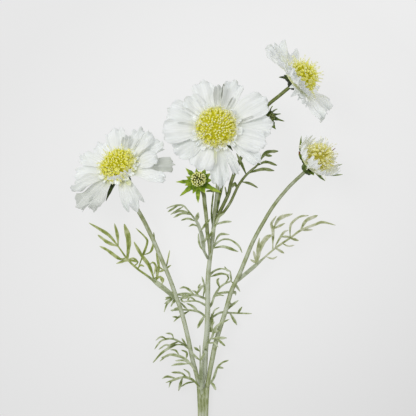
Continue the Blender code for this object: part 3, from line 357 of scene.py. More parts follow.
# Small lobes that only the looks have, for the leaf that they grow on.
SMALL_LOBES = {
    "left_stem_leaf": [
        (1.3, 2, [(148.9, 266.2), (152, 262.5), (155.5, 266), (153.6, 275)]),
        (1.5, 1, [(153.3, 279), (158.5, 277.5), (163, 279.5), (161.5, 285)]),
        (1.3, 1, [(137.4, 269.4), (140, 265.5), (144, 266.8)]),
        (1.2, -1, [(127.2, 260), (133, 258.5), (138.3, 262.8)]),
        (1.1, 0, [(166, 268), (169.5, 250.5)]),
        (1.1, 0, [(157.4, 266.5), (163.5, 270.5)]),
    ],
    "long_left_leaf": [
        (1.5, 1, [(193, 295.5), (186, 296.6), (180.5, 295.4), (175.3, 294.8)]),
        (1.3, 1, [(190, 297), (184, 298.6), (178, 298)]),
        (1.3, 2, [(199, 296.4), (195.5, 292.4), (192.2, 291)]),
        (1.2, 1, [(187.5, 294.5), (188.5, 298.5), (187.2, 302)]),
        (1.3, 2, [(199.5, 291), (198.5, 287.5), (200.6, 284)]),
        (1.3, 0, [(173, 299), (169.5, 298.2), (164.6, 300.6)]),
        (1.3, -0.4, [(172.2, 300), (167.6, 303.6), (165.4, 308)]),
        (1.3, 0, [(177, 296), (175.5, 301), (171.2, 304.6)]),
    ],
    "lower_left_leaf": [
        (1.3, 2, [(188, 310.6), (183.5, 306.5), (180.4, 302.6)]),
        (1.2, 1, [(181, 310.5), (176.5, 308.8), (171.4, 312.3)]),
        (1.2, 1, [(178, 318), (172, 317.4)]),
    ],
    "middle_right_leaf": [
        (1.2, 1, [(213.9, 297.6), (219, 295.4), (224.2, 296.2)]),
        (1.2, 1, [(225.3, 283.8), (228.6, 278.5), (226.4, 275)]),
        (1.2, 0, [(231, 292.7), (235.4, 292.2), (235.8, 296)]),
        (1.3, 1, [(230.6, 272), (226.8, 270), (224.6, 266.8)]),
    ],
    "lower_right_leaf": [
        (1.1, 1, [(212.5, 317.5), (214.5, 311), (219.6, 307.8)]),
        (1.2, 1, [(231.6, 306), (229.8, 302.4)]),
    ],
    "front_leaf": [
        (1.4, 1, [(210.5, 340.5), (213.8, 333.4), (220.8, 330.4)]),
        (1.3, 1, [(208, 344), (214, 343.6), (218.3, 347.8)]),
        (1.2, 1, [(213.5, 331), (211.6, 326.5), (214.6, 322)]),
    ],
    "right_stem_leaf": [
        (1.2, 1, [(282.8, 243.6), (288.6, 246.2), (294.6, 245.2)]),
        (1.2, 2, [(266, 256.5), (272.6, 258.8), (277.5, 256.4)]),
        (1.3, 2, [(242, 277), (241.5, 270.5), (245.6, 265)]),
    ],
    "upper_left_leaf": [
        (1.3, 1, [(199, 227), (193.2, 224.6), (188.6, 226.6)]),
        (1.2, 1, [(184, 206.2), (178.4, 209.5), (170.6, 214.6)]),
        (1.4, 2, [(203.4, 244.2), (206.8, 236.6), (205.4, 230)]),
    ],
    "foot_leaves": [
        (1.3, 1, [(190, 364.9), (183.5, 361.2), (174.8, 361.4)]),
        (1.3, 2, [(190.1, 379.5), (188.6, 373.4), (183.2, 369.6)]),
        (1.2, 1, [(195, 382.7), (187, 384), (180.6, 387.8)]),
        (1.2, 1, [(179.4, 356.9), (175.5, 351), (169.8, 350.4)]),
        (1.2, 1, [(177.9, 379.1), (171.3, 382), (168.6, 388.5)]),
    ],
    "foot_left_leaf": [
        (1.2, 1, [(173.3, 339.7), (171.6, 334.8), (165.4, 333.6)]),
        (1.2, 1, [(166.5, 339.6), (160.7, 337.4), (155.5, 341)]),
        (1.2, 0, [(172, 347.3), (165.5, 345.5), (158.4, 350.3)]),
    ],
}
# The rachis of some leaves: its width along it, and how much bloom it has down to which share of its length.
RACHIS = {
    "left_stem_leaf": (((0, 1.8), (0.2, 1.4), (0.27, 0.7), (0.7, 0.62), (0.85, 1.1), (0.95, 0.6), (1, 0.15)),
                       0.75, 0.3),
    "right_stem_leaf": (((0, 1.3), (0.2, 1.2), (0.3, 0.75), (0.75, 0.7), (0.88, 1), (1, 0.2)), 0.9, 0.3),
    "upper_left_leaf": (((0, 0.9), (0.2, 1.5), (0.45, 1.3), (0.6, 0.75), (0.9, 0.7), (1, 0.2)), 0.95, 0.6),
    "foot_leaves": (((0, 1.2), (0.5, 1.3), (1, 0.3)), 0.7, 0.9),
}
BRANCH_LOBES = [
    (2.2, 2, [(248.5, 173), (256, 170.6), (264.2, 169.1), (274.3, 170.8)]),
    (2.0, 0.5, [(257.9, 165.1), (266, 161.9), (277, 165.4)]),
    (2.4, 1, [(260.4, 160), (266.6, 152.4), (278.3, 151.2)]),
    (1.7, -1, [(264.5, 155), (272.2, 155.9)]),
    (1.7, -2, [(241.5, 181.7), (250, 183.5), (257.9, 187.8)]),
    (1.8, 1.5, [(246.5, 175.1), (241.1, 162.9), (236.5, 153.4)]),
    (1.9, 1, [(237, 188.6), (234.6, 183), (232.4, 187.6)]),
]

# A head: its hub (u, v, height in mm), the tilt of its axis from upright and the plan direction that it
# tilts to (degrees, anticlockwise from +X), its cup (radius at the foot and at the rim, depth, in mm), its
# disc (radius, height of the rim and height of the dome, in mm), and its petals and bracts. A petal is
# (direction, reach, width, rise, droop, twist): reach is from the flower's axis, rise is the angle at which
# the petal leaves the hub, droop is how far it bends back over its length and twist is how far it turns
# about its own length. A bract is (direction, reach, width, rise).
FLOWERS = {
    "large_flower": {
        "hub": (216, 130, 43.5), "tilt": (18, 90), "cup": (2.1, 5.5, 7), "disc": (14.2, 3.5, 8.5),
        "petals": [
            (107, 38, 16, 12, 10, 0), (86, 33, 9, 20, 22, 0), (68, 39.5, 15, 8, 10, 0),
            (31, 43, 20, 14, 18, 0), (4, 41, 18, 7, 10, 0), (-20, 38, 18, 14, 16, 0),
            (-39, 41, 11, 7, 14, 0), (-66, 38, 8, 12, 22, 0), (-86, 43, 14, 4, 24, 0),
            (-113, 33.5, 19, 12, 24, 0), (-148, 35, 20, 6, 12, 0), (-175, 39.5, 19, 13, 14, 0),
            (156, 38.5, 19, 6, 8, 0), (133, 32, 16, 15, 12, 0),
        ],
        "bracts": [(10 + 60 * i, 19, 3.6, -12) for i in range(6)],
    },
    "left_flower": {
        "hub": (120.2, 168.8, 21.59), "tilt": (40, 120), "cup": (2.1, 5.5, 7), "disc": (11.8, 3.5, 8),
        "petals": [
            (102, 37, 15, 12, 12, 0), (79, 27, 7, 22, 10, 0), (64, 35, 11, 10, -6, 0),
            (45, 35, 12, 16, 4, 0), (25, 37, 13, 8, 4, 0), (2, 41, 15, 6, 26, 0),
            (4, 31, 15, 18, 10, 0), (-23, 41, 10, 12, 14, 0), (-68, 37, 16, 2, 40, 0),
            (-120, 38, 12, 8, 22, 0), (-136, 43, 14, 2, 16, 0), (-156, 38, 12, 12, 16, 0),
            (-177, 36, 13, 4, 8, 0), (159, 34, 12, 12, 6, 0), (131, 32, 12, 4, 6, 0),
        ],
        "bracts": [(67 + 60 * i, 26 if i == 3 else 16, 3.6, -8) for i in range(6)],
    },
    "top_flower": {
        "hub": (294.8, 83.4, 32.72), "tilt": (80, 38.5), "cup": (2.1, 5.5, 5.6), "disc": (10.2, 5, 10.5),
        "petals": [
            (133, 33, 13, 6, 6, -35), (112, 33, 13, 15, 10, -50), (82, 32, 14, 26, 16, -45),
            (44, 33, 14, 14, 14, 0), (10, 33, 14, 22, 16, 20), (-21, 33, 14, 16, 16, 40),
            (-42, 33, 10, 26, 16, 55), (-62, 34.5, 12, 10, 20, 50), (-94, 22, 12, -2, 18, 0),
            (-122, 20.5, 12, -8, 20, 0), (-150, 29, 13, 22, 10, 0), (178, 31, 13, 14, 8, 0),
        ],
        "bracts": [(-66, 15.5, 3.4, -6), (-18, 15, 3.4, -12), (42, 15, 3.4, -12), (102, 11, 3.4, -12),
                   (158, 12, 4.2, -25)],
    },
    "small_flower": {
        "hub": (312.8, 163.8, 23), "tilt": (65, 45), "cup": (4.2, 5.5, 8.5), "disc": (8.8, 4, 10.5),
        "petals": [(25 + 40 * i, 22 + 2 * (i % 2), 9.5, 26 + 4 * (i % 2), -46, 0) for i in range(9)],
        "bracts": [(-64, 16, 3.2, 8), (-25, 22.5, 3.2, 27), (4, 24, 3.4, 28), (36, 25, 3.4, 32),
                   (84, 21, 3.2, 27), (122, 21, 3.2, 28), (142, 14, 4.2, 12), (-104, 12.5, 4.2, 6),
                   (-142, 15, 4, 12)],
    },
}
BUDS = {
    "front_bud": {
        "hub": (198.5, 180.5, 45), "tilt": (20, 92), "cup": (2.1, 4.6, 5.5), "head": 5.4,
        "bracts": [(135, 13.5, 4.2, 8), (100, 9, 4.6, 22), (62, 10.5, 4.4, 14), (30, 10.5, 4.8, 18),
                   (0, 10, 4.8, 14), (-30, 19, 4.2, 8), (-62, 10.5, 5, 6), (-90, 17, 4, 2),
                   (-114, 10.5, 5, 4), (-138, 18, 4.2, 4), (-160, 10.5, 4.8, 10), (-176, 16.5, 3.6, 6),
                   (160, 9.5, 4.6, 14)],
    },
    "side_bud": {
        "hub": (270.8, 116.2, 11.5), "tilt": (45, -20), "cup": (2.1, 4.2, 5), "head": 2.8,
        "bracts": [(-18, 10.5, 4.2, 40), (14, 8.5, 4.2, 34), (39, 8.2, 4.2, 20), (75, 8, 4.2, 14),
                   (107, 8, 4.4, 12), (152, 7.5, 4.4, 8), (-57, 12, 4.2, 14), (-98, 8.5, 4.2, 12),
                   (-140, 7, 4.4, 8)],
    },
}
HEADS = {**FLOWERS, **BUDS}

# How the disc of each flower is filled: its florets (how many, their width and length in mm), the share of
# them that are still closed, the open ones in a fringe round its foot (how many, their length), its stamens
# (how many, their length), how pale both are, and the look that the stamens have.
DISCS = {
    "large_flower": {"florets": (330, 1.0, 4.0), "closed": 0.3, "fringe": (56, 5.0), "stamens": (170, 4.8),
                     "pale": 0.35, "threads": "stamen"},
    "left_flower": {"florets": (260, 1.05, 4.0), "closed": 0.2, "fringe": (46, 5.0), "stamens": (130, 6.2),
                    "pale": 0.1, "threads": "floret"},
    "top_flower": {"florets": (200, 0.95, 4.2), "closed": 0.1, "fringe": (36, 4.5), "stamens": (110, 7.4),
                   "pale": 0.35, "threads": "floret"},
    "small_flower": {"florets": (120, 0.95, 5.6), "closed": 0.0, "fringe": (0, 0), "stamens": (80, 8.0),
                     "pale": 0.3, "threads": "stamen"},
}
# Rings of small petals between the disc and the large petals: how many on the largest disc, how far they
# reach past the disc, their width, both in mm, and the angle at which they rise.
CRESTS = ((21, 5.5, 3.6, 16), (17, 3.4, 2.8, 32))
LARGEST_DISC = 14.2 * MM
# What makes petals unlike one another: how far their sides are rolled up, how much painted shade greys them,
# how ruffled they are, and the power that their width follows. Most are plain.
PLAIN = (0.0, 0.0, 1.0, 0.9)
FOLDS = {
    ("large_flower", 1): (0.6, 0.45, 1.0, 2.4),
    ("large_flower", 6): (0.0, 0.0, 1.2, 1.6),
    ("large_flower", 7): (0.5, 0.1, 1.0, 1.7),
    ("large_flower", 8): (0.1, 0.0, 1.5, 1.1),
    ("left_flower", 1): (0.5, 0.4, 1.0, 1.2),
    ("left_flower", 5): (-0.3, 0.6, 1.0, 3.0),
    ("left_flower", 8): (0.1, 0.15, 2.2, 0.9),
    ("left_flower", 9): (0.2, 0.5, 1.6, 1.0),
    ("left_flower", 10): (0.2, 0.5, 1.4, 1.1),
    ("left_flower", 11): (0.2, 0.25, 1.4, 1.1),
    ("top_flower", 0): (0.1, 0.0, 1.8, 0.9),
    ("top_flower", 1): (0.2, 0.0, 2.0, 1.1),
    ("top_flower", 2): (0.1, 0.05, 1.6, 0.9),
    ("top_flower", 6): (0.4, 0.0, 1.6, 1.1),
    ("top_flower", 7): (0.4, 0.0, 1.6, 1.1),
}
# Extra petals and folds: where each starts, half its width there and how high, in mm, how green it is, its
# shape like that of any petal, and what makes it unlike the others. The narrow grey and dark ones are strips
# of painted shade for the folds between petals.
LEFT_FRONT = (-0.2, 0.0, 0.8, 0.8)
TOP_FRONT = (0.1, 0.0, 0.8, 0.7)
SMALL_PETALS = {
    "large_flower": [
        (14.5, 0.4, 2.6, 0.0, (80, 34, 1.5, 20, 14, 0), (0.8, 0.9, 0.2, 0.9)),
        (12.5, 0.8, 1.6, 0.9, (-91, 28, 2.6, 6, 12, 0), (0.8, 0.15, 0.2, 0.9)),
        (12.0, 0.5, 1.6, 0.3, (62, 27, 1.8, 14, 12, 0), (0.8, 0.6, 0.2, 0.9)),
        (13.0, 0.5, 1.2, 0.5, (17, 30, 1.6, 12, 12, 0), (0.8, 0.6, 0.2, 0.9)),
        (12.0, 0.5, 1.2, 0.3, (172, 29, 1.6, 12, 12, 0), (0.8, 0.5, 0.2, 0.9)),
        (12.0, 0.5, 1.2, 0.3, (146, 27, 1.6, 12, 12, 0), (0.8, 0.5, 0.2, 0.9)),
    ],
    "left_flower": [
        (12.8, 1.6, 0.6, 0.0, (-104, 20.5, 7, 86, -10, 0), LEFT_FRONT),
        (13.2, 1.6, 0.6, 0.0, (-84, 21.5, 7, 90, -12, 0), LEFT_FRONT),
        (13.2, 1.6, 0.6, 0.0, (-60, 22.5, 7, 92, -10, 0), LEFT_FRONT),
        (13.0, 1.6, 0.6, 0.0, (-36, 19.5, 6, 86, -12, 0), LEFT_FRONT),
        (11.0, 0.8, 0.6, 1.0, (-58, 21, 4, 16, 16, 0), (0.5, 0.0, 0.2, 0.9)),
        (12.0, 0.5, 1.6, 0.4, (54, 28, 2.0, 14, 8, 0), (0.8, 0.5, 0.2, 0.9)),
        (12.0, 0.5, 1.6, 0.6, (30, 26, 1.8, 14, 8, 0), (0.8, 0.6, 0.2, 0.9)),
    ],
    "top_flower": [
        *[(9.6, 2.2, 0.4, 0.0, spec, TOP_FRONT) for spec in (
            (-196, 19, 9, 44, 20, 0), (-174, 20, 9, 52, 20, 0), (-152, 20, 9, 46, 20, 0),
            (-130, 20, 9, 54, 22, 0), (-108, 20, 9, 46, 20, 0), (-88, 18, 8, 42, 20, 0),
        )],
        (9.0, 0.6, 1.0, 1.0, (128, 23, 2.2, 20, 8, 0), (0.4, 0.0, 0.2, 0.9)),
        (9.0, 0.5, 1.0, 0.8, (150, 22, 1.8, 26, 8, 0), (0.4, 0.0, 0.2, 0.9)),
        (9.0, 0.5, 1.0, 0.7, (-68, 20, 2.0, 20, 8, 0), (0.4, 0.0, 0.2, 0.9)),
    ],
}

# How far the bracts of a head are turned about their length, in degrees.
BRACT_TWIST = {"small_flower": 62, "top_flower": 55, "side_bud": 40}
BRACT_SPREAD = 1.15  # how much broader bracts are than the plain blades that they stand for
FRONT_BUD_SPREAD = 0.95
BROWN_TIPS = {("small_flower", 3), ("small_flower", 6)}  # bracts with brown tips, by head and number

# The bloom on each stem at its foot, between the leaves and at its head.
BLOOM = {
    "stalk": (0.56, 0.56, 0.58),
    "left_flower_stem": (0.53, 0.84, 0.34),
    "large_flower_stem": (0.68, 1.0, 0.34),
    "small_flower_stem": (0.53, 0.66, 0.52),
    "top_flower_stem": (0.4, 0.4, 0.15),
    "front_bud_stem": (0.4, 0.5, 0.3),
    "side_bud_stem": (0.3, 0.3, 0.1),
    "side_branch": (0.3, 0.4, 0.3),
}
# The Y of the foot, of the middle, of a place with the mean of the middle and the head, and of the head.
BLOOM_PLACES = (0.03, 0.11, 0.2, 0.28)

# Painted light: the petals, the crests round the discs and the florets glow a little, which lifts their
# shade; the crests glow most.
PETAL_GLOW = 0.055  # painted light on the petals
CREST_GLOW = 0.17
FLORET_GLOW = 0.055
SCATTER = (1.0, 1.0, 0.9)  # how far red, green and blue light spreads under a surface
# The colours of each look, from its deepest to its palest, as display values.
LEAF_COLOURS = {
    "leaf_green": ((112, 127, 48), (156, 168, 92), (193, 200, 146)),
    "leaf_pale": ((128, 138, 78), (180, 186, 142), (210, 212, 188)),
    "leaf_grey": ((96, 110, 46), (150, 162, 106), (198, 205, 174)),
    "leaf_deep": ((72, 88, 30), (114, 128, 66), (162, 172, 120)),
}
BRACT_COLOURS = {
    "bract_bright": ((60, 86, 0), (124, 154, 18), (186, 203, 78)),
    # The calyxes of the large, left and top flowers: darker all over, as painted shade.
    "bract_painted_shade": ((14, 20, 2), (44, 58, 12), (98, 114, 44)),
    "bract_deep": ((40, 54, 6), (88, 109, 26), (146, 165, 64)),
}
FLORET_COLOURS = {
    "floret": ((198, 194, 22), (232, 228, 44), (243, 240, 90), (250, 250, 196)),
    "stamen": ((214, 208, 112), (234, 230, 146), (246, 244, 196), (251, 250, 236)),
    "floret_pale": ((188, 180, 62), (230, 224, 112), (243, 240, 160), (250, 249, 230)),
    # The deepest colour of both grain looks lies on the ball under the grains and at their feet: painted
    # shade in the gaps.
    "grain": ((26, 38, 0), (188, 196, 54), (232, 233, 130), (252, 252, 214)),
    "grain_deep": ((40, 52, 6), (92, 108, 30), (128, 140, 54), (150, 160, 80)),
}


class Form:
    """Points and faces gathered for one piece. Each point has a mark of three values for the materials."""

    def __init__(self):
        self.points = []
        self.marks = []
        self.faces = []
        self.slots = []

    def grid(self, points, across, along, shade=0.0, slot=0, closed=False):
        """Faces between rows of points.

        Where closed, the last column joins the first and the ends are capped.
        """
        rows, columns = points.shape[:2]
        first = sum(len(group) for group in self.points)
        self.points.append(points.reshape(-1, 3))
        marks = np.empty((rows, columns, 3))
        marks[..., 0] = across
        marks[..., 1] = along
        marks[..., 2] = shade
        self.marks.append(marks.reshape(-1, 3))
        made = []
        for i in range(rows - 1):
            low = first + i * columns
            for k in range(columns if closed else columns - 1):
                a = low + k
                b = low + (k + 1) % columns
                made.append((a, b, b + columns, a + columns))
        if closed:
            made.append(tuple(range(first, first + columns)))
            made.append(tuple(range(first + (rows - 1) * columns, first + rows * columns)))
        self.faces += made
        self.slots += [slot] * len(made)

    def make(self, name, materials, replaced=(), matrix=None, thickness=0.0):
        """The finished piece, which rides on the part's one body.

        What would reach below the table lies on it.
        """
        points = np.vstack(self.points)
        if matrix:
            turned = np.array(matrix)
            points = points @ turned[:3, :3].T + turned[:3, 3]
        points[:, 2] = np.maximum(points[:, 2], thickness / 2)
        mesh = bpy.data.meshes.new(name)
        mesh.from_pydata(points.tolist(), [], self.faces)
        mark = mesh.attributes.new("mark", "FLOAT_VECTOR", "POINT")
        mark.data.foreach_set("vector", np.vstack(self.marks).ravel())
        mesh.polygons.foreach_set("material_index", self.slots)
        for material in materials:
            mesh.materials.append(material)
        bm = bmesh.new()
        bm.from_mesh(mesh)
        bmesh.ops.recalc_face_normals(bm, faces=bm.faces)
        bm.to_mesh(mesh)
        bm.free()
        mesh.shade_smooth()
        piece = bpy.data.objects.new(name, mesh)
        bpy.context.scene.collection.objects.link(piece)
        if thickness:
            sheet = piece.modifiers.new("thickness", "SOLIDIFY")
            sheet.thickness = thickness
            sheet.offset = 0.0
        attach(piece, "root")
        if replaced:
            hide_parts(*replaced)


class Look:
    """A Principled material, and the few kinds of node that the materials here are made of."""

    def __init__(self, name, roughness, **sockets):
        self.material = bpy.data.materials.new(name)
        self.material.use_nodes = True
        self.tree = self.material.node_tree
        self.shader = self.tree.nodes["Principled BSDF"]
        self.shader.inputs["Roughness"].default_value = roughness
        self.shader.inputs["Subsurface Radius"].default_value = SCATTER
        for socket, value in sockets.items():
            self.shader.inputs[socket.replace("_", " ")].default_value = value

    def glow(self, colour, strength):
        self.shader.inputs["Emission Color"].default_value = paint(colour)
        self.shader.inputs["Emission Strength"].default_value = strength

    def node(self, kind, values=None, **settings):
        made = self.tree.nodes.new("ShaderNode" + kind)
        for key, value in settings.items():
            setattr(made, key, value)
        for key, value in (values or {}).items():
            if isinstance(value, bpy.types.NodeSocket):
                self.tree.links.new(value, made.inputs[key])
            else:
                made.inputs[key].default_value = value
        return made

    def marks(self):
        """The three marks of a point: across, along and shade."""
        mark = self.node("Attribute", attribute_name="mark")
        return self.node("SeparateXYZ", {0: mark.outputs["Vector"]}).outputs

    def place(self):
        return self.node("TexCoord").outputs["Object"]

    def vector(self, x, y, z):
        return self.node("CombineXYZ", {0: x, 1: y, 2: z}).outputs[0]

    def math(self, kind, a, b=0.0):
        return self.node("Math", {0: a, 1: b}, operation=kind).outputs[0]

    def add(self, a, b):
        return self.math("ADD", a, b)

    def times(self, a, b):
        return self.math("MULTIPLY", a, b)

    def noise(self, vector, scale, detail=2.0):
        return self.node("TexNoise", {"Vector": vector, "Scale": scale, "Detail": detail}).outputs["Fac"]

    def spread(self, value, low, high, to_low, to_high):
        """A value stretched from one range to another, and held inside it."""
        return self.node("MapRange", {0: value, 1: low, 2: high, 3: to_low, 4: to_high}).outputs[0]

    def ramp(self, value, stops):
        made = self.node("ValToRGB", {0: value})
        points = made.color_ramp.elements
        while len(points) < len(stops):
            points.new(1.0)
        for point, (position, colour) in zip(points, stops):
            point.position = position
            point.color = paint(colour)
        return made.outputs["Color"]

    def mix(self, factor, a, b):
        return self.node("Mix", {0: factor, 6: a, 7: b}, data_type="RGBA").outputs[2]

    def colour(self, socket):
        self.tree.links.new(socket, self.shader.inputs["Base Color"])

    def bump(self, height, distance, strength):
        made = self.node("Bump", {"Height": height, "Distance": distance, "Strength": strength})
        self.tree.links.new(made.outputs[0], self.shader.inputs["Normal"])


def paint(colour):
    """A colour given in display values from 0 to 255, as the linear one that a shader takes."""
    linear = []
    for value in colour:
        share = value / 255
        linear.append(share / 12.92 if share <= 0.04045 else ((share + 0.055) / 1.055) ** 2.4)
    return (*linear, 1.0)


def petal_look(name, strength):
    """Thin white petals: yellow-green where they start, fine veins along them, and painted shade: soft grey
    blotches, grey at the crimped tips, and grey over the petals and strips that the shade mark picks.
    """
    look = Look(name, 0.6, Subsurface_Weight=0.3, Subsurface_Scale=0.0012, Specular_IOR_Level=0.25)
    # Painted light: a faint glow lifts the shade on petals and crests.
    look.glow((247, 250, 247), strength)
    across, along, shade = look.marks()
    base = look.ramp(along, [
        (0.0, (184, 190, 98)), (0.1, (216, 219, 156)), (0.22, (236, 238, 218)), (0.38, (243, 245, 242)),
        (1.0, (241, 244, 245)),
    ])
    veins = look.noise(look.vector(look.times(across, 9.0), look.times(along, 1.3), shade), 1.0, 3.0)
    veined = look.mix(look.spread(veins, 0.35, 0.62, 0.34, 0.0), base, paint((200, 205, 198)))
    # Painted shade: soft grey blotches for a crumpled surface.
    painted_shade_blotches = look.noise(look.place(), 90.0)
    with_shade_blotches = look.mix(look.spread(painted_shade_blotches, 0.4, 0.68, 0.0, 0.5), veined, paint((220, 225, 221)))
    # Painted shade: grey in a crimped pattern near the tips.
    near_tip = look.spread(along, 0.9, 0.98, 0.0, 0.55)
    painted_crimp_shade = look.spread(look.noise(look.place(), 260.0), 0.45, 0.6, 0.0, 1.0)
    with_tip_shade = look.mix(look.times(near_tip, painted_crimp_shade), with_shade_blotches, paint((186, 190, 182)))
    # Painted shade: the shade mark turns a petal grey, and a fold's strip a dark grey-green.
    painted_fold_shade = look.ramp(shade, [(0.5, (184, 187, 177)), (1.0, (104, 111, 88))])
    look.colour(look.mix(shade, with_tip_shade, painted_fold_shade))
    fine = look.noise(look.vector(look.times(across, 26.0), along, shade), 1.0)
    look.bump(fine, 0.12 * MM, 0.6)
    return look.material


def stem_look():
    """Green stems with a pale bloom, which the shade mark gives the amount of, with a painted highlight on
    top and painted shade on the sides, and streaks along them.
    """
    look = Look("stem", 0.6, Specular_IOR_Level=0.3, Subsurface_Weight=0.08, Subsurface_Scale=0.001)
    across, along, bloom = look.marks()
    streaks = look.noise(look.vector(look.times(across, 3.0), look.times(along, 9.0), 0.0), 1.0)
    patches = look.noise(look.place(), 160.0, 3.0)
    rough = look.spread(look.add(streaks, patches), 0.75, 1.25, -0.32, 0.3)
    look.colour(look.ramp(look.add(bloom, rough), [
        (0.0, (96, 106, 42)), (0.3, (138, 149, 90)), (0.6, (171, 179, 138)), (0.95, (203, 209, 189)),
    ]))
    look.bump(streaks, 0.15 * MM, 0.5)
    return look.material


def cut_look():
    """The plain pale cut across the stalk."""
    look = Look("cut", 0.7)
    grain = look.noise(look.place(), 900.0)
    look.colour(look.ramp(grain, [(0.3, (186, 190, 150)), (0.7, (214, 216, 186))]))
    return look.material


def leaf_look(name, deep, middle, pale):
    """A leaf, paler along its edges, with a bloom in patches; the shade mark adds more bloom."""
    look = Look(name, 0.62, Specular_IOR_Level=0.3, Subsurface_Weight=0.1, Subsurface_Scale=0.001)
    across, along, shade = look.marks()
    patches = look.noise(look.place(), 210.0, 3.0)
    amount = look.add(look.spread(patches, 0.36, 0.64, 0.0, 0.75), look.times(along, 0.3))
    edge = look.times(look.math("ABSOLUTE", across), 0.25)
    green = look.ramp(look.add(amount, edge), [(0.1, deep), (0.5, middle), (0.95, pale)])
    bloom = look.ramp(patches, [(0.35, (150, 159, 126)), (0.62, (192, 199, 176))])
    look.colour(look.mix(shade, green, bloom))
    look.bump(patches, 0.1 * MM, 0.5)
    return look.material


def bract_look(name, deep, middle, pale):
    """Green bracts and cups, lighter towards their points; the shade mark turns a point brown."""
    look = Look(name, 0.5, Specular_IOR_Level=0.35, Subsurface_Weight=0.08, Subsurface_Scale=0.001)
    _, along, shade = look.marks()
    patches = look.noise(look.place(), 320.0, 3.0)
    amount = look.add(look.times(along, 0.55), look.spread(patches, 0.3, 0.7, -0.1, 0.45))
    green = look.ramp(amount, [(0.05, deep), (0.45, middle), (0.9, pale)])
    look.colour(look.mix(shade, green, paint((126, 70, 36))))
    look.bump(patches, 0.12 * MM, 0.6)
    return look.material


def floret_look(name, deep, middle, bright, tip):
    """Florets and stamens: deep at the foot and pale at the tip; the shade mark is how pale one is."""
    look = Look(name, 0.55, Specular_IOR_Level=0.3, Subsurface_Weight=0.15, Subsurface_Scale=0.0008)
    # Painted light: a faint glow lifts the florets' shade.
    look.glow(middle, FLORET_GLOW)
    _, along, shade = look.marks()
    body = look.ramp(along, [(0.0, deep), (0.4, middle), (0.8, bright), (1.0, tip)])
    light = look.ramp(along, [(0.0, middle), (0.4, bright), (0.8, tip), (1.0, (240, 240, 222))])
    look.colour(look.mix(shade, body, light))
    look.bump(look.noise(look.place(), 900.0), 0.08 * MM, 0.6)
    return look.material


def floor_look():
    """A grey sheet that glows nearly white, so that the spray's shadow on it stays faint."""
    look = Look("floor", 0.9, Specular_IOR_Level=0.1)
    look.glow((255, 255, 255), 1.0)
    x, y, _ = look.node("SeparateXYZ", {0: look.place()}).outputs
    reach = FLOOR_REACH
    at_middle, growth = FLOOR_SLOPE
    up = look.spread(y, FLOOR_MIDDLE - reach, FLOOR_MIDDLE + reach, -reach, reach)
    slope = look.spread(x, -reach, reach, at_middle - reach * growth, at_middle + reach * growth)
    even = look.add(FLOOR_GLOW, look.times(up, slope))
    # A patch of painted light that lifts the spray's shadow.
    patch_x, patch_y, radius, brighter = FLOOR_GLOW_PATCH
    dx = look.math("SUBTRACT", x, patch_x)
    dy = look.math("SUBTRACT", y, patch_y)
    away = look.math("POWER", look.add(look.times(dx, dx), look.times(dy, dy)), 0.5)
    glow = look.add(even, look.spread(away, 0.0, radius, brighter, 0.0))
    look.tree.links.new(glow, look.shader.inputs["Emission Strength"])
    grain = look.noise(look.place(), 3.0)
    look.colour(look.ramp(grain, [(0.3, (98, 98, 98)), (0.7, (102, 102, 102))]))
    return look.material


def make_looks():
    looks = {
        "petal": petal_look("petal", PETAL_GLOW),
        "crest": petal_look("crest", CREST_GLOW),
        "stem": stem_look(),
        "cut": cut_look(),
    }
    recipes = ((leaf_look, LEAF_COLOURS), (bract_look, BRACT_COLOURS), (floret_look, FLORET_COLOURS))
    for recipe, colours in recipes:
        for name, shades in colours.items():
            looks[name] = recipe(name, *shades)
    return looks


def unit(vectors):
    return vectors / np.linalg.norm(vectors, axis=-1, keepdims=True)


def all_round(count):
    """Evenly spaced angles for a full turn."""
    return np.linspace(0, 2 * math.pi, count, endpoint=False)


def jitter(chance, most):
    """A small vector of chance."""
    return np.array([chance.uniform(-most, most) for _ in range(3)])


def on_plan(points):
    """Points in metres from rows of (u, v, height in millimetres)."""
    points = np.asarray(points, float)
    x = (points[:, 0] - PLAN_ORIGIN[0]) * PLAN_UNIT
    y = (PLAN_ORIGIN[1] - points[:, 1]) * PLAN_UNIT
    return np.column_stack([x, y, points[:, 2] * MM])


def smooth_run(points, step, least=2):
    """Evenly spaced points on a smooth curve through the given ones, which may carry a radius.

    The curve is a Catmull-Rom spline.
    """
    points = np.asarray(points, float)
    run = np.vstack([2 * points[0] - points[1], points, 2 * points[-1] - points[-2]])
    t = np.linspace(0, 1, 16, endpoint=False)[:, None]
    spans = []
    for a, b, c, d in zip(run, run[1:], run[2:], run[3:]):
        spans.append(0.5 * (2 * b + (c - a) * t + (2 * a - 5 * b + 4 * c - d) * t ** 2
                            + (3 * b - a - 3 * c + d) * t ** 3))
    fine = np.vstack([*spans, points[-1:]])
    steps = np.linalg.norm(np.diff(fine[:, :3], axis=0), axis=1)
    lengths = np.concatenate([[0], np.cumsum(steps)])
    count = max(least, round(lengths[-1] / step))
    wanted = np.linspace(0, lengths[-1], count + 1)
    return np.column_stack([np.interp(wanted, lengths, column) for column in fine.T])


def turned_frames(places):
    """The direction of a run at each point, and two directions across it that turn as little as they can."""
    along = unit(np.gradient(places, axis=0))
    side = np.empty_like(along)
    last = np.cross(along[0], LEVEL_HELPER)
    for i, direction in enumerate(along):
        last = unit(last - direction * (last @ direction))
        side[i] = last
    return along, side, np.cross(side, along)


def round_rows(places, radii, sides, ribs=0):
    """Rings of points round a run of places, ribbed by a share of the radius where ribs are asked for."""
    _, side, face = turned_frames(places)
    angles = all_round(sides)
    spoke = side[:, None] * np.cos(angles)[:, None] + face[:, None] * np.sin(angles)[:, None]
    swell = 1 + STEM_RIB_DEPTH * np.cos(ribs * angles) * (ribs > 0)
    return places[:, None] + spoke * (np.asarray(radii)[:, None] * swell)[..., None]


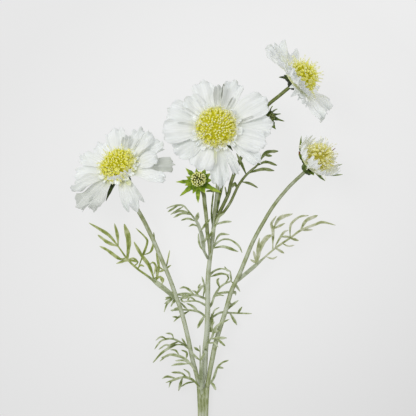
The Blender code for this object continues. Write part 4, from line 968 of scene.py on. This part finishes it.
def lathe(profile, sides, ribs=0):
    """Rings of points round a head's axis from (radius, height) pairs, ribbed where ribs are asked for."""
    angles = all_round(sides)
    ring = np.stack([np.cos(angles), np.sin(angles), 0 * angles], -1)
    ring *= (1 + CUP_RIB_DEPTH * np.cos(ribs * angles) * (ribs > 0))[:, None]
    return np.stack([ring * radius + UP * height for radius, height in profile])


def blade(form, places, width, shape, up=UP, shade=0.0, slot=0, chance=0.0):
    """A blade with a lens section and a channel along its upper side, flat side facing up."""
    t = np.linspace(0, 1, len(places))
    along = unit(np.gradient(places, axis=0))
    side = unit(np.cross(along, up))
    face = np.cross(side, along)
    uneven = 1 + 0.1 * np.sin(9 * t + 6 * chance) + 0.07 * np.sin(23 * t + 17 * chance)
    half = 0.5 * width * uneven * np.interp(t, *zip(*shape))
    thick = 0.5 * np.minimum(BLADE_THICKNESS, 1.6 * half + 0.1 * MM)
    angles = all_round(BLADE_SIDES)
    reach = np.cos(angles)
    rise = np.sin(angles) - BLADE_CHANNEL * np.maximum(0, np.sin(angles)) ** 10
    lift = BLADE_EDGE_LIFT * reach ** 2
    points = (places[:, None] + side[:, None] * (half[:, None] * reach)[..., None]
              + face[:, None] * (thick[:, None] * rise + half[:, None] * lift)[..., None])
    form.grid(points, reach, t[:, None], np.broadcast_to(shade, len(places))[:, None], slot, closed=True)


def head_matrix(hub, tilt):
    """The place of a head: its axis tilts from upright towards a direction on the plan."""
    angle, towards = (math.radians(value) for value in tilt)
    hinge = Vector((-math.sin(towards), math.cos(towards), 0))
    return Matrix.Translation(on_plan([hub])[0]) @ Matrix.Rotation(angle, 4, hinge)


def bloom_at(places, name):
    """How pale the bloom along a stem is, for each of its rows."""
    low, middle, high = BLOOM[name]
    return np.interp(places[:, 1], BLOOM_PLACES, (low, middle, 0.5 * (middle + high), high))[:, None]


def stem(name, points, heads):
    """The run of a stem, with its radius, from its first point to the foot of the head that it carries."""
    run = np.column_stack([on_plan(points), np.array(points)[:, 3] * MM])
    carried = name.replace("_stem", "")
    if carried in heads:
        depth = HEADS[carried]["cup"][2] * MM
        for below in STEM_ENTRY:
            foot = heads[carried] @ Vector((0, 0, -depth - below))
            run = np.vstack([run, [*foot, points[-1][3] * MM]])
    return smooth_run(run, STEM_STEP)


def add_stem(form, run, name):
    """A ribbed stem, cut flat where it rests."""
    places = run[:, :3]
    points = round_rows(places, run[:, 3], STEM_SIDES, STEM_RIBS)
    points[..., 2] = np.maximum(points[..., 2], 0)
    length = np.concatenate([[0], np.cumsum(np.linalg.norm(np.diff(places, axis=0), axis=1))])
    across = np.cos(2 * all_round(STEM_SIDES))
    sideways = 1 - np.abs(unit(points - places[:, None])[..., 2])
    # The bloom, paler on top as a painted highlight and darker down the sides as painted shade.
    bloom = bloom_at(places, name) + STEM_PAINTED_TOP_LIGHT - STEM_PAINTED_SIDE_SHADE * sideways
    form.grid(points, across, length[:, None] / STEM_MARK, bloom, closed=True)


def add_stalk_and_stems(looks, heads):
    """Three stems run down into the stalk. Each is drawn in one go and parted at the stalk's top."""
    stalk = Form()
    for lobe, name in zip(STALK_LOBES, ("left_flower_stem", "large_flower_stem", "small_flower_stem")):
        run = stem(name, lobe + STEMS[name][1:], heads)
        parting = int(np.argmax(run[:, 1] > (PLAN_ORIGIN[1] - STALK_TOP) * PLAN_UNIT))
        add_stem(stalk, run[:parting + 1], "stalk")
        upper = Form()
        add_stem(upper, run[parting:], name)
        upper.make(name + "_fine", [looks["stem"]], [name])
    # Each lobe has a cap at its foot, which is the cut, and one at its top, inside the stem that goes on.
    caps = [i for i, face in enumerate(stalk.faces) if len(face) == STEM_SIDES]
    for i in caps[::2]:
        stalk.slots[i] = 1
    stalk.make("stalk_fine", [looks["stem"], looks["cut"]], ["stalk"])
    for name in ("top_flower_stem", "front_bud_stem", "side_bud_stem"):
        form = Form()
        add_stem(form, stem(name, STEMS[name], heads), name)
        form.make(name + "_fine", [looks["stem"]], [name])


def leaf_height(heights, share):
    """A smooth height through the leaf's base, middle and tip."""
    low, middle, high = heights
    bend = 2 * (low + high - 2 * middle)
    return low + (high - low - bend) * share + bend * share * share


def nearest(points, spot):
    """The point nearest to a place on the plan."""
    points = np.asarray(points)
    return points[np.argmin(np.hypot(points[:, 0] - spot[0], points[:, 1] - spot[1]))]


def add_lobes(form, name, heights, lobes, slot=0):
    """A cut leaf's rachis and lobes, each of which starts on what is drawn before it.

    Without heights they are lobes of the stem of that name. They start on it and lie at its height.
    """
    drawn = None if heights else smooth_run([point[:3] for point in STEMS[name]], 1.0)
    rachis = lobes[0][2]
    base = rachis[0]
    reach = max(math.dist(point, base) for point in rachis)
    rachis_shape, bloom, bloom_end = RACHIS.get(name, (RACHIS_SHAPE, 0.4, 0.5))
    chance = random.Random(name)
    for i, (width, lift, points) in enumerate(lobes + SMALL_LOBES.get(name, [])):
        run = []
        for k, (u, v) in enumerate(points):
            rise = lift * (k / (len(points) - 1)) ** 2
            if heights:
                rise += leaf_height(heights, math.dist((u, v), base) / reach)
            else:
                rise += nearest(STEMS[name], (u, v))[2]
            run.append((u, v, rise))
        if drawn is not None:
            run = [tuple(nearest(drawn, run[0][:2])), *run]
        run = smooth_run(run, BLADE_STEP / PLAN_UNIT, least=9)
        drawn = run if drawn is None else np.vstack([drawn, run])
        if i == 0 and heights:
            t = np.linspace(0, 1, len(run))
            frost = bloom * np.clip((bloom_end - t) / 0.1 + 0.5, 0, 1)
            blade(form, on_plan(run), width * MM, rachis_shape, shade=frost, chance=chance.random())
        else:
            broad = width * MM * LOBE_SPREAD
            blade(form, on_plan(run), broad, LOBE_SHAPE, slot=slot, chance=chance.random())


def add_leaves(looks):
    for name, (tint, heights, lobes) in LEAVES.items():
        form = Form()
        add_lobes(form, name, heights, lobes)
        form.make(name + "_fine", [looks[tint]], [name])


def add_side_branch(looks, heads):
    """The leafy side branch, with the twigs near it."""
    form = Form()
    add_stem(form, stem("side_branch", STEMS["side_branch"], heads), "side_branch")
    add_lobes(form, "side_branch", None, BRANCH_LOBES, slot=1)
    for width, points in TWIGS:
        run = smooth_run(points, BLADE_STEP / PLAN_UNIT, least=9)
        blade(form, on_plan(run), width * MM, TWIG_SHAPE, slot=1)
    form.make("side_branch_fine", [looks["stem"], looks["leaf_deep"]], ["side_branch"])


def petal_share(t, w, phase, chance):
    """How far along a petal its points lie: rounded corners, and teeth and two clefts at the tip."""
    notch = np.sin(5 * w + phase[0]) + 0.6 * np.sin(14 * w + phase[1]) + 0.55 * np.sin(31 * w + phase[2])
    middles = (chance.uniform(-0.5, -0.25), chance.uniform(0.2, 0.5))
    clefts = sum(chance.uniform(0.1, 1.0) * np.exp(-((w - middle) / PETAL_CLEFT_WIDTH) ** 2)
                 for middle in middles)
    edge = (PETAL_TEETH * np.cos(2 * math.pi * w) + PETAL_NOTCH * chance.uniform(0.5, 1.5) * notch
            - PETAL_CLEFT * clefts)
    corner = 0.5 * w ** 2 + 0.5 * w ** 6
    return t * (1 - PETAL_CORNERS * corner * t + edge * t ** 3)


def petal_relief(t, w, phase, index, ruffle):
    """The pleats, waves and ruffles of a petal, as heights."""
    pleat = PETAL_PLEAT * (0.6 + 0.4 * math.sin(phase[0])) * (-1) ** index
    height = pleat * np.minimum(1, 1.4 * t) * np.cos(2 * math.pi * w) + PETAL_CUP * t * w * w
    for (wave, closeness), start in zip(PETAL_WAVES, phase[4:6]):
        height += wave * np.minimum(1, 1.5 * t) * np.sin(closeness * w + start)
    height += ruffle * PETAL_RUFFLE * t ** 4 * np.sin(6.5 * w + phase[6])
    height += 0.6 * ruffle * PETAL_RUFFLE * np.abs(w) ** 3 * np.sin(6 * t + phase[7])
    crumple = np.sin(8 * w + 5 * t + phase[8]) * np.sin(9 * t - 3 * w + phase[9])
    return height + ruffle * PETAL_CRUMPLE * t ** 1.5 * crumple


def petal(form, spec, index, chance, fold=PLAIN, root=PETAL_ROOT, claw=PETAL_CLAW, foot=-PETAL_SINK,
          relief=1.0, green=0.0, grid=PETAL_GRID):
    """A fan-shaped petal along +X turned to its direction: pleats, a toothed tip and a ruffled edge."""
    direction, reach, width, rise, droop, twist = spec
    roll, shade, ruffle, flare = fold
    rows, columns = grid
    t = np.linspace(0, 1, rows)[:, None]
    w = np.linspace(-1, 1, columns)[None, :]
    phase = [chance.uniform(0, 2 * math.pi) for _ in range(10)]
    share = petal_share(t, w, phase, chance)
    length = reach * MM - root
    start = math.radians(rise)
    bend = math.radians(droop)
    out = (np.sin(start) - np.sin(start - bend * share)) / bend
    lift = (np.cos(start - bend * share) - np.cos(start)) / bend
    widen = np.sin(math.pi / 2 * np.minimum(1, t / 0.8)) ** flare
    half = claw + (width * MM / 2 - claw) * widen
    half = half * (1 + 0.05 * np.sin(7 * t + phase[3]) * np.sign(w) * t)
    height = relief * petal_relief(t, w, phase, index, ruffle) + roll * w * w * half * t
    height += PETAL_LAYER * (index % 2) * np.minimum(1, 3 * t)
    sideways = w * half * (1 - 0.3 * abs(roll) * w * w)
    beyond = np.maximum(0, share - PETAL_CURL_START) / (1 - PETAL_CURL_START)
    curl = chance.uniform(*PETAL_CURL) * relief * beyond ** 2
    angle = math.radians(twist) * np.minimum(1, 2.2 * t)
    x = root + length * out
    y = sideways * np.cos(angle) - height * np.sin(angle)
    z = sideways * np.sin(angle) + height * np.cos(angle) + length * lift + foot + curl
    turn = math.radians(direction)
    forward = math.cos(turn)
    left = math.sin(turn)
    points = np.stack([x * forward - y * left, x * left + y * forward, z], -1)
    # Painted shade: how grey the petal is, least near its root.
    painted_greyness = shade * np.clip(2.4 * share - 0.3, 0.15, 1)
    form.grid(points, w + 7 * index, share * (1 - 0.85 * green), painted_greyness)


def add_corolla(name, flower, looks, matrix):
    """The large petals, on the plate that they grow from."""
    form = Form()
    chance = random.Random(name + "petals")
    for i, spec in enumerate(flower["petals"]):
        petal(form, spec, i, chance, FOLDS.get((name, i), PLAIN))
    for root, claw, foot, green, spec, fold in SMALL_PETALS.get(name, []):
        petal(form, spec, 0, chance, fold, root * MM, claw * MM, foot * MM, SMALL_RELIEF, green,
              SMALL_PETAL_GRID)
    middle = 0.5 * HUB_BOTTOM
    outline = ((0.2, HUB_BOTTOM), (0.9, HUB_BOTTOM), (1.0, middle), (0.98, HUB_TOP), (0.2, HUB_TOP))
    plate = lathe([(HUB_RADIUS * share, height) for share, height in outline], 48)
    form.grid(plate, 0.0, HUB_MARK, closed=True)
    form.make(name + "_petals_fine", [looks["petal"]], [name + "_petals"], matrix, PETAL_THICKNESS)


def add_crests(name, flower, looks, matrix):
    """Small cream-white petals between the disc and the large ones."""
    radius = flower["disc"][0] * MM
    form = Form()
    chance = random.Random(name + "crests")
    for ring, (most, reach, width, rise) in enumerate(CRESTS):
        count = round(most * radius / LARGEST_DISC)
        for i in range(count):
            spec = (
                360 * (i + 0.5 * ring + chance.uniform(-0.3, 0.3)) / count,
                radius / MM + reach * chance.uniform(0.55, 1.25),
                width * chance.uniform(0.6, 1.3),
                rise + chance.uniform(-8, 8),
                chance.uniform(6, 18),
                chance.uniform(-25, 25),
            )
            petal(form, spec, i, chance, root=CREST_ROOT * radius, claw=CREST_CLAW,
                  foot=HUB_TOP + (1 + ring) * CREST_STEP, relief=CREST_RELIEF, grid=CREST_GRID)
    form.make(name + "_crests", [looks["crest"]], matrix=matrix, thickness=PETAL_THICKNESS)


def floret(form, foot, axis, length, width, closed, pale, chance):
    """A floret: a tube that opens in five lobes, or a closed one like a club."""
    outline, lobes = CLOSED_FLORET if closed else OPEN_FLORET
    axis = unit(axis)
    side = unit(np.cross(axis, LEVEL_HELPER))
    face = np.cross(side, axis)
    turn = chance.uniform(0, 2 * math.pi)
    angles = all_round(FLORET_SIDES)
    spoke = side * np.cos(angles + turn)[:, None] + face * np.sin(angles + turn)[:, None]
    bow = jitter(chance, 0.12 * length)
    star = np.cos(5 * angles)
    rows = []
    for share, girth in outline:
        stand = lobes * max(0.0, girth - 0.5) * star
        centre = foot + axis * length * share + bow * share ** 2
        rows.append(centre + spoke * (width * (girth + stand))[:, None]
                    + axis * (0.25 * length * stand)[:, None])
    shares = np.array([share for share, _ in outline])[:, None]
    form.grid(np.stack(rows), 0.0, shares * chance.uniform(0.8, 1.0), pale, closed=True)


def stamen(form, foot, axis, length, pale, chance):
    """A thin bent thread with an anther at its end."""
    shares, girths = np.array(STAMEN_SHAPE).T
    bow = jitter(chance, 0.22 * length)
    places = foot + unit(axis) * (length * shares)[:, None] + bow * (shares ** 2)[:, None]
    form.grid(round_rows(places, girths * STAMEN_RADIUS, 5), 0.0, shares[:, None], pale, closed=True)


def dome_place(turn, down, size):
    """A place on the disc and the direction out of it, at an angle down from the top, in degrees."""
    radius, rim, dome = (value * MM for value in size)
    angle = math.radians(down)
    flat = math.sin(angle)
    ray = np.array((flat * math.cos(turn), flat * math.sin(turn), math.cos(angle)))
    place = ray * (0.9 * radius, 0.9 * radius, dome if ray[2] > 0 else rim) + UP * rim
    return place, unit(ray / (radius, radius, dome))


def even_down(share, reach):
    """The angle from a dome's top, in degrees, down to which a share of its area lies."""
    return math.degrees(math.acos(1 - share * (1 - math.cos(math.radians(reach)))))


def add_dome(form, size):
    """The smooth dome under the florets."""
    radius, rim, dome = (value * MM for value in size)
    inner = 1 - DISC_COVER / radius
    profile = []
    for down in np.radians(np.linspace(4, 90, 12)):
        profile.append((math.sin(down) * inner * radius, rim + math.cos(down) * dome * inner))
    profile.append((DISC_FOOT * radius, HUB_TOP + GAP))
    form.grid(lathe(profile, 40), 0.0, 0.0, closed=True)


def add_florets(form, size, fill, chance):
    """Florets all over the dome: closed ones at its top, open ones that lean outwards lower down."""
    florets, width, length = fill["florets"]
    for i in range(florets):
        share = (i + 0.5) / florets
        turn = i * GOLDEN_TURN + chance.uniform(-0.12, 0.12)
        place, normal = dome_place(turn, even_down(share, FLORET_REACH), size)
        axis = normal + jitter(chance, 0.16) + normal * (1, 1, 0) * 0.5 * share
        closed = share < fill["closed"] or chance.random() < LATE_FLORETS
        pale = min(1.0, fill["pale"] * chance.uniform(0.2, 1.8))
        floret(form, place - normal * FLORET_SINK, axis, length * MM * chance.uniform(0.8, 1.2), width * MM,
               closed, pale, chance)


def add_fringe(form, size, fill, chance):
    """Open florets that stand out round the foot of the dome."""
    _, width, _ = fill["florets"]
    fringe, length = fill["fringe"]
    for i in range(fringe):
        turn = 2 * math.pi * (i + chance.uniform(-0.4, 0.4)) / fringe
        place, normal = dome_place(turn, FRINGE_DOWN, size)
        axis = normal * (1, 1, 0) + UP * chance.uniform(0.1, 0.9)
        floret(form, place - normal * FLORET_SINK, axis, length * MM * chance.uniform(0.75, 1.25),
               0.8 * width * MM, False, chance.uniform(0.5, 1.0), chance)


def add_stamens(form, size, fill, chance):
    """Stamens scattered over the dome."""
    stamens, length = fill["stamens"]
    for _ in range(stamens):
        down = even_down(chance.random(), STAMEN_REACH)
        place, normal = dome_place(chance.uniform(0, 2 * math.pi), down, size)
        axis = normal + jitter(chance, 0.3)
        reach = length * MM * chance.uniform(0.7, 1.25)
        stamen(form, place - normal * STAMEN_SINK, axis, reach, min(1.0, 0.5 + fill["pale"]), chance)


def add_disc(name, flower, looks, matrix):
    """The domed disc of florets, and what stands out of it."""
    size = flower["disc"]
    fill = DISCS[name]
    look = looks["floret_pale" if name == "small_flower" else "floret"]
    chance = random.Random(name + "disc")
    form = Form()
    add_dome(form, size)
    add_florets(form, size, fill, chance)
    form.make(name + "_disc_fine", [look], [name + "_disc"], matrix)
    form = Form()
    add_fringe(form, size, fill, chance)
    add_stamens(form, size, fill, chance)
    form.make(name + "_stamens", [looks[fill["threads"]]], matrix=matrix)


def add_cup(form, cup, top):
    """The ribbed green cup under a head."""
    foot, rim, depth = (value * MM for value in cup)
    profile = []
    for share in CUP_SHARES:
        girth = foot + (rim - foot) * math.sin(math.pi / 2 * share) ** 1.15
        end = CUP_END if share in (0.0, 1.0) else 1.0
        profile.append((girth * end, -depth + (top + depth) * share))
    marks = np.linspace(0, 0.4, len(profile))[:, None]
    form.grid(lathe(profile, 60, CUP_RIBS), 0.0, marks, closed=True)


def add_calyx(name, spec, node, look, matrix):
    """The green cup under a head, with its pointed bracts."""
    top = HUB_BOTTOM - GAP
    form = Form()
    add_cup(form, spec["cup"], top)
    rim = spec["cup"][1] * MM
    start = rim - BRACT_INSIDE
    low = top - BRACT_BELOW
    spread = FRONT_BUD_SPREAD if name == "front_bud" else BRACT_SPREAD
    chance = random.Random(name + "bracts")
    t = np.linspace(0, 1, 16)
    for i, (direction, reach, width, rise) in enumerate(spec["bracts"]):
        turn = math.radians(direction)
        forward = np.array((math.cos(turn), math.sin(turn), 0))
        left = np.array((-math.sin(turn), math.cos(turn), 0))
        span = reach * MM - start
        height = low + span * math.tan(math.radians(rise)) * t ** BRACT_CURVE
        sway = chance.uniform(-1, 1) * BRACT_SWAY * np.sin(2.6 * t)
        places = forward * (start + span * t)[:, None] + left * sway[:, None] + UP * height[:, None]
        brown = np.clip((t - 0.72) / 0.15, 0, 1) if (name, i) in BROWN_TIPS else 0.0
        twist = math.radians(BRACT_TWIST.get(name, 0)) * chance.choice((-1, 1))
        up = UP * math.cos(twist) + left * math.sin(twist)
        blade(form, places, width * MM * spread, BRACT_SHAPE, up, brown, chance=chance.random())
    form.make(node + "_fine", [look], [node], matrix)


def add_bud_head(name, radius, looks, matrix):
    """A ball of closed florets, flattened underneath: pale grains, with painted shade in the gaps between
    them.
    """
    form = Form()
    chance = random.Random(name)
    core = radius * MM * BUD_CORE
    foot = HUB_BOTTOM + radius * MM * BUD_BOTTOM
    profile = []
    for down in np.radians(np.linspace(5, 175, 14)):
        depth = 1 if math.cos(down) > 0 else BUD_BOTTOM
        profile.append((core * math.sin(down), foot + core * math.cos(down) * depth))
    form.grid(lathe(profile, 32), 0.0, 0.0, closed=True)
    shares = np.linspace(-0.5, 0.5, 6)
    plump = np.sqrt(np.maximum(0.02, 1 - (2 * shares) ** 2))
    for i in range(BUD_GRAINS):
        down = math.acos(1 - BUD_REACH * (i + 0.5) / BUD_GRAINS)
        flat = math.sin(down)
        turn = i * GOLDEN_TURN + chance.uniform(-0.15, 0.15)
        ray = np.array((flat * math.cos(turn), flat * math.sin(turn), math.cos(down)))
        place = ray * core * (1, 1, 1 if ray[2] > 0 else BUD_BOTTOM) + UP * foot
        axis = unit(ray + jitter(chance, 0.35))
        length = radius * MM * chance.uniform(0.22, 0.36)
        girths = radius * MM * chance.uniform(0.085, 0.15) * plump
        places = place + axis * (length * (0.3 + shares))[:, None]
        pale = chance.uniform(0, 0.8)
        form.grid(round_rows(places, girths, 7), 0.0, shares[:, None] + 0.5, pale, closed=True)
    look = looks["grain" if name == "front_bud" else "grain_deep"]
    form.make(name + "_head_fine", [look], [name + "_head"], matrix)


def add_floor():
    bpy.ops.mesh.primitive_plane_add(size=FLOOR_SIZE, location=(0, 0, -FLOOR_DROP))
    floor = bpy.context.object
    floor.name = "floor"
    floor.data.materials.append(floor_look())


def add_light(name, place, size, power):
    data = bpy.data.lights.new(name, "AREA")
    data.shape = "DISK"
    data.size = size
    data.energy = power
    light = bpy.data.objects.new(name, data)
    light.location = place
    light.rotation_euler = (Vector(LIGHT_TARGET) - Vector(place)).to_track_quat("-Z", "Y").to_euler()
    bpy.context.scene.collection.objects.link(light)


def add_camera():
    """The camera straight above the spray."""
    data = bpy.data.cameras.new("camera")
    data.sensor_width = VIEW_SENSOR
    data.lens = VIEW_SENSOR * VIEW_DISTANCE / VIEW_WIDTH
    data.clip_end = 20
    camera = bpy.data.objects.new("camera", data)
    x, y, _ = on_plan([(*VIEW_CENTRE, 0)])[0]
    camera.location = (x, y, VIEW_HEIGHT)
    bpy.context.scene.collection.objects.link(camera)
    bpy.context.scene.camera = camera


def add_studio():
    """Plain soft light from all round and from two lights, over a pale floor."""
    scene = bpy.context.scene
    world = bpy.data.worlds.new("studio")
    scene.world = world
    world.use_nodes = True
    backdrop = world.node_tree.nodes["Background"]
    backdrop.inputs["Color"].default_value = (1.0, 1.0, 1.0, 1.0)
    backdrop.inputs["Strength"].default_value = SKY
    for name, (place, size, power) in LIGHTS.items():
        add_light(name, place, size, power)
    scene.view_settings.view_transform = "Standard"
    add_floor()
    add_camera()


def main():
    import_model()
    looks = make_looks()
    heads = {name: head_matrix(spec["hub"], spec["tilt"]) for name, spec in HEADS.items()}

    add_stalk_and_stems(looks, heads)
    add_leaves(looks)
    add_side_branch(looks, heads)
    for name, flower in FLOWERS.items():
        matrix = heads[name]
        # Painted shade: all flowers but the small one take the darker bract look.
        look = looks["bract_deep" if name == "small_flower" else "bract_painted_shade"]
        add_calyx(name, flower, name + "_calyx", look, matrix)
        add_corolla(name, flower, looks, matrix)
        add_crests(name, flower, looks, matrix)
        add_disc(name, flower, looks, matrix)
    for name, bud in BUDS.items():
        look = looks["bract_bright" if name == "front_bud" else "bract_deep"]
        add_calyx(name, bud, name + "_bracts", look, heads[name])
        add_bud_head(name, bud["head"], looks, heads[name])

    add_studio()


main()
